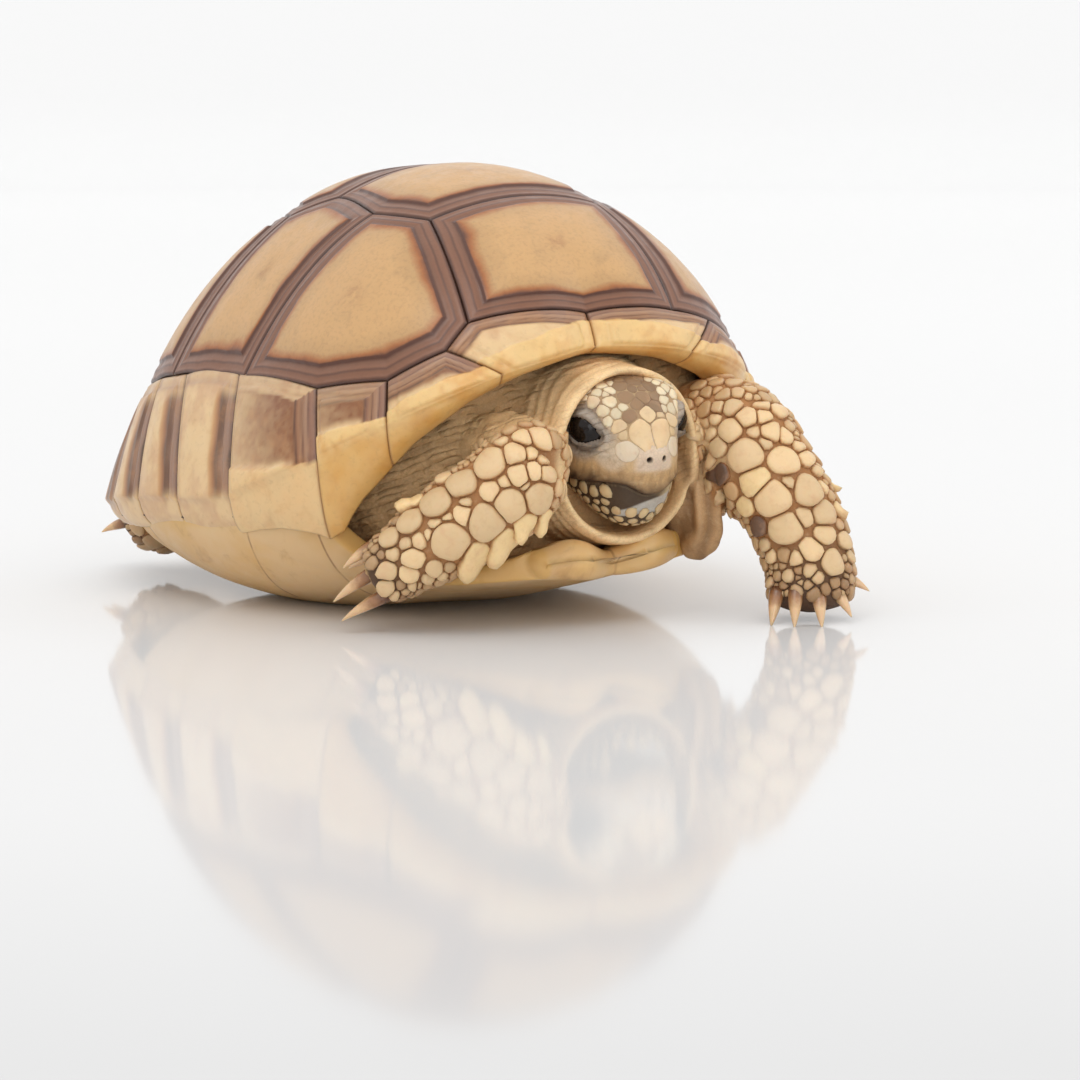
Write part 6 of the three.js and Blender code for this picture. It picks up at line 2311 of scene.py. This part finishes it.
@dataclass(frozen=True)
class ScaleCoat:
    """Grows scales on the skin: each one fills the cell between its neighbours, less a groove."""

    tree: BVHTree
    gap: float = 0.1
    round_by: float = 10.0
    large: tuple = ((1.02, -0.35), (0.995, 0.35), (0.95, 0.78), (0.8, 1.0), (0.42, 1.06))
    small: tuple = ((1.02, -0.35), (0.96, 0.6), (0.66, 1.0))
    large_from: float = 0.68
    most_sides_from: float = 0.95
    unwrap_half: float = 0.0014

    def cell(self, number: int, arrays: tuple, near: np.ndarray, turns: np.ndarray) -> tuple:
        """Works out the outline of one scale.

        Args:
            number: Which scale.
            arrays: The places, radii and normals of all scales.
            near: The numbers of its neighbours.
            turns: Directions in radians.

        Returns:
            The reach in each direction, and the two directions of its plane.
        """
        places, radii, normals = arrays
        normal = normals[number]
        first = unit(np.cross(normal, [0.31, 0.17, 0.94]))
        second = np.cross(normal, first)
        cap = radii[number] * (2.1 if radii[number] > 0.9 else 1.5)
        total = np.full(len(turns), (1.0 / cap) ** self.round_by)
        if len(near):
            away = places[near] - places[number]
            reach = np.linalg.norm(away, axis=1)
            heading = np.arctan2(away @ second, away @ first)
            limit = reach / 2 + (radii[number] ** 2 - radii[near] ** 2) / (2 * reach) - self.gap / 2
            limit = np.maximum(limit, 0.3 * radii[number])
            facing = np.cos(turns[:, None] - heading[None])
            share = np.where(facing > 0.05, np.maximum(facing, 0.05) / limit[None], 0.0)
            total = total + (share**self.round_by).sum(1)
        return total ** (-1.0 / self.round_by), first, second

    def build(self, name: str, spots: Spots, horn: bpy.types.Material) -> None:
        """Makes one piece of scales and dresses it."""
        places, radii = np.array(spots.place), np.array(spots.radius)
        found = [self.tree.find_nearest(Vector(place)) for place in places]
        normals = np.array([hit[1] for hit in found])
        others = point_tree(places)
        surface = Surface()
        unwraps = []
        largest = float(radii.max())
        for number, place in enumerate(places):
            radius = radii[number]
            big = radius > self.large_from
            sides = 24 if radius > self.most_sides_from else 16 if big else 11
            turns = 2 * np.pi * (np.arange(sides) + 0.37 * number) / sides
            search = float(radius * 1.7 + min(largest, radius * 2.5 + 0.8) * 1.2)
            hits = others.find_range(Vector(place), search)
            near = np.array([hit[1] for hit in hits if hit[1] != number], int)
            reach, first, second = self.cell(number, (places, radii, normals), near, turns)
            lean = spots.lean[number]
            length = float(np.linalg.norm(lean))
            ways = first * np.cos(turns)[:, None] + second * np.sin(turns)[:, None]
            pull = np.zeros(sides)
            if length > 0:
                towards = np.maximum(0, ways @ (lean / length))
                pull = towards**5 * length
                reach = reach * (1 - 0.18 * towards * (1 - towards**3) * 2)
            edge = [self.tree.find_nearest(Vector(point))[0] for point in place + ways * reach[:, None]]
            shrunk = np.linalg.norm(np.array(edge) - place, axis=1)
            reach = reach * np.clip(reach / np.maximum(shrunk, 1e-6), 1.0, 1.2)
            rows, tops = [], []
            profile = self.large if big else self.small
            for share, height in profile:
                flat = place + ways * ((reach + pull) * share)[:, None]
                ring = []
                for k, point in enumerate(flat):
                    at, normal, _, _ = self.tree.find_nearest(Vector(point))
                    lift = height * spots.height[number] * (1 + 0.9 * pull[k] / max(radius, 0.1))
                    lift *= 1 + share * float(ways[k] @ spots.tilt[number])
                    ring.append(np.array(at) + np.array(normal) * lift)
                rows.append(np.array(ring))
                tops.append(np.full(sides, np.clip(height, 0, 1)))
            hub = np.array(found[number][0]) + normals[number] * spots.height[number] * (1.1 if big else 1.08)
            faces = grid_faces(len(rows), sides, closed=True)
            faces += fan(sides * (len(rows) - 1), sides, sides * len(rows))
            faces.append(tuple(range(sides))[::-1])
            top = np.concatenate([*tops, [1.0]])
            varied = 1 + 0.1 * math.sin(number * 12.9898)
            blend = smooth(top, -0.1, 0.85)[:, None]
            colour = lerp(spots.groove[number][None], spots.colour[number][None] * varied, blend)
            surface.add(np.concatenate([*rows, hub[None]]), faces, tone=colour, top=top)
            spread = np.concatenate([np.full(sides, share) for share, _ in profile])
            circle = np.stack([np.cos(turns), np.sin(turns)], -1)
            patch = np.tile(circle, (len(rows), 1)) * spread[:, None] * self.unwrap_half
            unwraps.append(np.concatenate([patch, [[0.0, 0.0]]]) + spots.unwrap[number])
        piece = piece_from(name, surface)
        off_floor(piece)
        outward(piece)
        layer = piece.data.uv_layers.new(name="OFBake")
        owners = np.zeros(len(piece.data.loops), np.int32)
        piece.data.loops.foreach_get("vertex_index", owners)
        layer.data.foreach_set("uv", np.concatenate(unwraps)[owners].astype(np.float32).ravel())
        finished(piece, horn)


@dataclass(frozen=True)
class LimbScales:
    """The scales of one limb: large ones in their places and smaller ones between them.

    A large scale is (share along, angle, half width) and its kind, if that isn't plain.
    """

    limb: Limb
    large: tuple = ()
    start: float = 0.14
    face_size: float = 0.62
    edge_size: float = 0.42
    back_size: float = 0.8
    foot_from: float = 0.8
    edge_at: float = 85.0
    tries: int = 5200
    seed: int = 1
    clearest: float = 0.75
    clear: float = 0.42

    def size(self, t: np.ndarray, angle: np.ndarray) -> np.ndarray:
        """Gives the usual half width of the small scales at places on the limb."""
        face = smooth(np.abs(angle), 70, 40)
        back = smooth(np.abs(angle), 115, 145)
        edge = smooth(np.abs(angle - self.edge_at), 45, 20)
        size = lerp(lerp(0.6, self.face_size, face), self.back_size, back)
        size = lerp(size, self.edge_size, edge)
        return size * lerp(1.0, 0.78, smooth(t, self.foot_from, self.foot_from + 0.12))

    def colours(self, t: float, shade: float) -> tuple:
        """Gives a small scale's colour and its groove's colour."""
        towards_foot = float(smooth(t, self.foot_from - 0.25, 1.0))
        pale = lerp(ScaleTone.PALE.linear(), ScaleTone.TAN.linear(), 0.2 + 0.7 * shade)
        scale = lerp(pale, ScaleTone.BROWN.linear(), 0.75 * towards_foot * (0.4 + 0.6 * shade))
        groove = lerp(ScaleTone.GROOVE.linear(), ScaleTone.FOOT_GROOVE.linear(), towards_foot)
        return scale, groove

    @staticmethod
    def unwrap(t: float, angle: float) -> np.ndarray:
        """Gives a place on the limb's unwrapped skin."""
        return np.array([0.02 + 0.96 * t, 0.02 + 0.96 * ((angle + 180.0) % 360.0) / 360.0])

    def spots(self, tree: BVHTree) -> Spots:
        """Places the scales of the limb."""
        spots = Spots()
        limb = self.limb
        down = np.array([0.0, 0.0, -1.0])
        for t, angle, radius, *kind in self.large:
            place = limb.point(np.array([t]), angle)[0]
            at, normal, _, _ = tree.find_nearest(Vector(place))
            shade, point = (kind[0] if kind else ScaleKind.PLAIN).value
            along = limb.frame(np.array([t]))[0][0]
            lean = along * 0.55 + down
            lean = unit(lean - np.array(normal) * (lean @ np.array(normal)))
            _, groove = self.colours(t, 0.0)
            height = 0.36 + 0.16 * min(radius, 1.6)
            leans = (lean * point * radius, lean * 0.5)
            spots.add(np.array(at), radius, height, leans, shade.linear(), groove, self.unwrap(t, angle))
        draw = np.random.default_rng(self.seed)
        t = draw.uniform(self.start, 1.0, self.tries)
        angle = draw.uniform(-180, 180, self.tries)
        radius = self.size(t, angle) * draw.uniform(0.55, 1.25, self.tries)
        beaded = (t > self.foot_from) | (np.abs(angle - self.edge_at) < 38)
        fine = draw.uniform(0.26, 0.36, self.tries)
        radius = np.where(beaded & (np.arange(self.tries) % 2 == 1), fine, np.maximum(radius, 0.46))
        places = limb.point(t, angle)
        for i in np.argsort(-radius, kind="stable"):
            if not spots.fits(places[i], radius[i], 0.94, self.clear):
                continue
            at, _, _, away = tree.find_nearest(Vector(places[i]))
            if away > self.clearest:
                continue
            scale, groove = self.colours(float(t[i]), float(draw.uniform(0, 1)))
            height = 0.16 + 0.3 * radius[i]
            leans = (np.zeros(3), limb.frame(np.array([t[i]]))[0][0] * 0.3)
            spots.add(np.array(at), radius[i], height, leans, scale, groove, self.unwrap(t[i], angle[i]))
        return spots


class ScaledLimbs(Enum):
    """Every limb with its scales."""

    FORELEG_RIGHT = LimbScales(
        Limbs.FORELEG_RIGHT.value,
        (
            (0.376, 34, 1.67), (0.3, 21, 1.21),
            (0.336, 0, 1.1), (0.314, -10, 0.95),
            (0.29, 2, 0.83), (0.268, -14, 0.99),
            (0.273, 12, 0.84), (0.266, 38, 0.57),
            (0.438, -22, 1.52), (0.345, -39, 1.44),
            (0.529, 32, 1.48), (0.616, 30, 1.52),
            (0.726, 34, 1.18), (0.526, -26, 1.67),
            (0.645, -20, 1.86), (0.614, -64, 1.45, ScaleKind.POINTED),
            (0.512, -70, 1.49, ScaleKind.POINTED), (0.776, -12, 0.92),
            (0.819, -30, 0.84), (0.566, -4, 0.87),
            (0.462, 2, 0.83), (0.38, 2, 0.57),
            (0.29, -18, 0.61), (0.305, -28, 0.87),
            (0.741, -44, 0.69), (0.779, -56, 0.57),
            (0.81, 38, 1.07), (0.928, -6, 0.84),
            (0.991, -34, 0.69), (0.74, -63, 0.5),
            (0.65, 6, 0.65), (0.728, 2, 0.61),
            (0.447, -60, 0.95, ScaleKind.POINTED), (0.385, -84, 0.88, ScaleKind.POINTED),
            (0.686, 69, 0.88, ScaleKind.POINTED), (0.564, 64, 0.76),
            (0.688, 0, 0.46), (0.612, 4, 0.46),
            (0.545, 6, 0.46), (0.828, 12, 0.61),
            (0.767, 9, 0.5), (0.343, -16, 0.53),
            (0.979, -60, 0.46), (0.838, -54, 0.46),
        ),
        start=0.22,
        edge_size=0.3,
        seed=11,
    )
    FORELEG_LEFT = LimbScales(
        Limbs.FORELEG_LEFT.value,
        (
            (0.383, 32, 1.6), (0.299, 36, 1.14),
            (0.297, 10, 1.1), (0.309, -4, 0.76),
            (0.478, -4, 1.43), (0.345, -3, 1.01),
            (0.557, 34, 1.81), (0.481, 36, 1.35, ScaleKind.YELLOW),
            (0.681, 36, 1.56), (0.592, -9, 1.52),
            (0.676, -18, 1.27), (0.266, 9, 0.93),
            (0.24, 12, 0.76), (0.318, 62, 0.85),
            (0.405, 76, 0.9, ScaleKind.DARK), (0.333, 14, 0.55),
            (0.288, -21, 0.76), (0.305, -34, 0.85),
            (0.364, -21, 0.76), (0.514, -36, 0.85),
            (0.804, 15, 0.93), (0.819, 36, 0.67),
            (0.759, -9, 0.84), (0.798, -45, 0.89),
            (0.86, -12, 1.1), (0.879, 21, 0.67),
            (0.898, 50, 0.67), (0.94, 86, 0.68),
            (0.848, -51, 0.72), (0.666, 10, 0.76),
            (0.516, 70, 0.84, ScaleKind.YELLOW), (0.781, 72, 0.68),
            (0.628, 72, 0.84, ScaleKind.DARK), (0.461, -36, 0.68),
            (0.6, -32, 0.55), (0.247, 28, 0.59),
            (0.259, 48, 0.55), (0.555, -40, 0.59),
            (0.679, -52, 0.64, ScaleKind.POINTED), (0.604, -68, 0.47, ScaleKind.POINTED),
            (0.723, 76, 0.59), (0.909, 12, 0.55),
            (0.543, 10, 0.59), (0.367, 8, 0.63),
        ),
        edge_at=-75.0,
        edge_size=0.72,
        seed=12,
    )
    HINDLEG_RIGHT = LimbScales(Limbs.HINDLEG_RIGHT.value, face_size=0.75, edge_size=0.6, seed=13, tries=3600)
    HINDLEG_LEFT = LimbScales(Limbs.HINDLEG_LEFT.value, face_size=0.75, edge_size=0.6, seed=14, tries=3600)
    TAIL = LimbScales(Limbs.TAIL.value, face_size=0.5, edge_size=0.5, back_size=0.5, seed=15, tries=1800)


@dataclass(frozen=True)
class HeadScales:
    """The scales of the head: small ones over the eyes, plates on the crown, beads on the jaw."""

    head: HeadForm
    plates: tuple = (
        (1.25, -6.9, 2.1, 1.2), (-1.25, -6.9, 2.1, 1.2), (2.5, -7.0, 0.5, 0.82), (-2.5, -7.0, 0.5, 0.82),
        (0.0, -5.4, 3.3, 0.75), (2.6, -5.3, 2.2, 0.7), (-2.6, -5.3, 2.2, 0.7),
    )
    tries: int = 9000
    seed: int = 21

    def looks(self, place: np.ndarray, mouth: float) -> tuple:
        """Gives what scales are like at a place of the head's own frame.

        Args:
            place: The place on the smooth head.
            mouth: The height of the mouth's line there.

        Returns:
            The half width, the height, the colour's name and the groove's name, or nothing where none grow.
        """
        x, y, z = abs(place[0]), place[1], place[2]
        if y > 4.5:
            return ()
        if z < mouth - 0.35:
            if y < -6.6 and z > mouth - 3.1:
                return ()
            return 0.5 if y < -1.0 else 0.62, 0.16, ScaleTone.JAW, ScaleTone.JAW_GROOVE
        if z > 2.3 and 2.0 < x:
            return 0.5, 0.07, ScaleTone.BONE, ScaleTone.HEAD_GROOVE
        if z > 1.5 and y < -5.6:
            return 0.6, 0.07, ScaleTone.PEACH, ScaleTone.HEAD_GROOVE
        if z > 2.4:
            return 0.62 if y < -1.5 else 0.5, 0.035, ScaleTone.CROWN, ScaleTone.CROWN_GROOVE
        if y > -1.0 and z > mouth + 0.8:
            return 0.6, 0.12, ScaleTone.TAN, ScaleTone.HEAD_GROOVE
        return ()

    def spots(self, jaw: bool) -> Spots:
        """Places the scales of the lower jaw, or those of the rest of the head."""
        points, _, base, near = self.head.surface()
        draw = np.random.default_rng(self.seed)
        picks = draw.choice(len(points) - 2, self.tries, replace=False)
        mouths = self.head.mouth_line(base[:, 1])
        wanted = []
        for pick in picks:
            looks = self.looks(base[pick], float(mouths[pick]))
            if looks and near[pick] < 0.12 and (looks[2] is ScaleTone.JAW) == jaw:
                wanted.append((looks[0] * draw.uniform(0.6, 1.2), pick, looks))
        wanted.sort(key=lambda item: -item[0])
        for across, along, up, radius in () if jaw else self.plates:
            pick = int(np.argmin(np.linalg.norm(base - np.array([across, along, up]), axis=1)))
            shade = ScaleTone.PEACH if up > 1.0 else ScaleTone.CHALK
            wanted.insert(0, (radius, pick, (radius, 0.08 if up > 1.0 else 0.05, shade, ScaleTone.HEAD_GROOVE)))
        spots = Spots()
        world = self.head.world(points)
        for radius, pick, looks in wanted:
            if not spots.fits(world[pick], radius, 0.94 if jaw else 0.84):
                continue
            turn = math.atan2(base[pick, 0], base[pick, 2] + 1.5)
            unwrap = np.array([0.02 + 0.96 * (base[pick, 1] + 8.7) / 17.0, 0.5 + 0.47 * turn / math.pi])
            colour, groove = looks[2].linear(), looks[3].linear()
            if looks[2] is ScaleTone.CROWN:
                colour = colour * (1 + 0.3 * float(grain(base[pick][None], 2.4, 41)[0]))
            spots.add(world[pick], radius, looks[1], (np.zeros(3), np.zeros(3)), colour, groove, unwrap)
        return spots


# ---------- the studio ----------


@dataclass(frozen=True)
class SoftLight:
    """A large soft lamp, its place and its target in metres."""

    name: str
    place: tuple
    target: tuple
    size: float
    power: float

    def build(self) -> None:
        """Adds the lamp."""
        data = bpy.data.lights.new(self.name, "AREA")
        data.shape = "DISK"
        data.size = self.size
        data.energy = self.power
        lamp = bpy.data.objects.new(self.name, data)
        bpy.context.scene.collection.objects.link(lamp)
        lamp.location = self.place
        lamp.rotation_euler = (Vector(self.target) - Vector(self.place)).to_track_quat("-Z", "Y").to_euler()


@dataclass(frozen=True)
class Camera:
    """The camera, by the three directions of its frame and its place in millimetres."""

    place: tuple = (-225.94463976, -368.8021308, 59.623450619)
    right: tuple = (0.840515524, -0.541787461, 0.0)
    up: tuple = (0.06801472, 0.105516336, 0.992088857)
    ahead: tuple = (0.537501303, 0.833866086, -0.125537641)
    lens: float = 139.22

    def build(self) -> None:
        """Adds the camera and makes it the scene's own."""
        data = bpy.data.cameras.new("camera")
        data.sensor_width = 36.0
        data.lens = self.lens
        data.clip_start = 0.01
        data.clip_end = 20.0
        camera = bpy.data.objects.new("camera", data)
        bpy.context.scene.collection.objects.link(camera)
        columns = [Vector(self.right), Vector(self.up), -Vector(self.ahead)]
        frame_matrix = Matrix([[column[row] for column in columns] for row in range(3)]).to_4x4()
        frame_matrix.translation = Vector(self.place) * MM
        camera.matrix_world = frame_matrix
        bpy.context.scene.camera = camera


@dataclass(frozen=True)
class Studio:
    """A pale floor that curves up at the back, soft light and the camera."""

    flat_reach: float = 1.0
    full_reach: float = 5.0
    wall_rise: float = 0.06
    lamps: tuple = (
        SoftLight("key", (-0.35, -0.3, 0.75), (0, 0, 0.01), 0.5, 1.2),
        SoftLight("front", (-0.3, -0.75, 0.22), (0, -0.02, 0.02), 0.45, 0.85),
        SoftLight("fill", (0.7, -0.5, 0.5), (0, 0, 0.02), 0.6, 0.6),
    )

    def floor(self) -> bpy.types.Object:
        """Makes a round floor in metres that curves up far away, so that no horizon shows."""
        sides = 96
        turn = 2 * np.pi * np.arange(sides) / sides
        reaches = np.concatenate([[0.02], np.linspace(self.flat_reach, self.full_reach, 16)])
        rings = []
        for reach in reaches:
            height = self.wall_rise * max(0.0, reach - self.flat_reach) ** 2
            rings.append(np.stack([np.cos(turn) * reach, np.sin(turn) * reach, np.full(sides, height)], -1))
        surface = Surface()
        surface.add(np.concatenate(rings), [*grid_faces(len(rings), sides, closed=True), tuple(range(sides))[::-1]])
        floor = piece_from("floor", surface)
        floor.data.polygons.foreach_set("use_smooth", [True] * len(floor.data.polygons))
        outward(floor)
        if floor.data.polygons[-1].normal.z < 0:
            floor.data.flip_normals()
        return floor

    def build(self) -> None:
        """Adds the floor, the light and the camera."""
        floor = self.floor()
        floor.data.materials.append(PaleFloor().make())
        world = bpy.data.worlds.new("studio")
        world.use_nodes = True
        world.node_tree.nodes["Background"].inputs["Color"].default_value = (1.0, 1.0, 1.0, 1.0)
        world.node_tree.nodes["Background"].inputs["Strength"].default_value = 1.0
        bpy.context.scene.world = world
        bpy.context.scene.view_settings.view_transform = "Standard"
        for lamp in self.lamps:
            lamp.build()
        Camera().build()


def main() -> None:
    """Builds the tortoise and its studio, in order."""
    logging.basicConfig(level=logging.INFO, format="%(name)s: %(message)s")
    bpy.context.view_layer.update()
    UpperShell().build()
    LowerShell().build()
    head = HeadForm()
    Eyes(head).build()
    claw_horn = ClawHorn().make()
    for limb in Limbs:
        if limb.value.claws:
            Claws(limb.value).build(claw_horn)
    skin = Skin(head).build()
    coat = ScaleCoat(surface_tree(skin))
    scale_horn = HornScale().make()
    for limb in ScaledLimbs:
        coat.build(f"scales_{limb.value.limb.name}", limb.value.spots(coat.tree), scale_horn)
    ScaleCoat(coat.tree, gap=0.05).build("scales_head", HeadScales(head).spots(jaw=False), scale_horn)
    ScaleCoat(coat.tree, gap=0.2, round_by=4.0).build("scales_jaw", HeadScales(head).spots(jaw=True), scale_horn)
    flesh = ("torso", "neck", "head", "lower_jaw", *(limb.value.name for limb in Limbs))
    finished(skin, SoftSkin().make(), flesh)
    Studio().build()


if __name__ == "__main__":
    main()
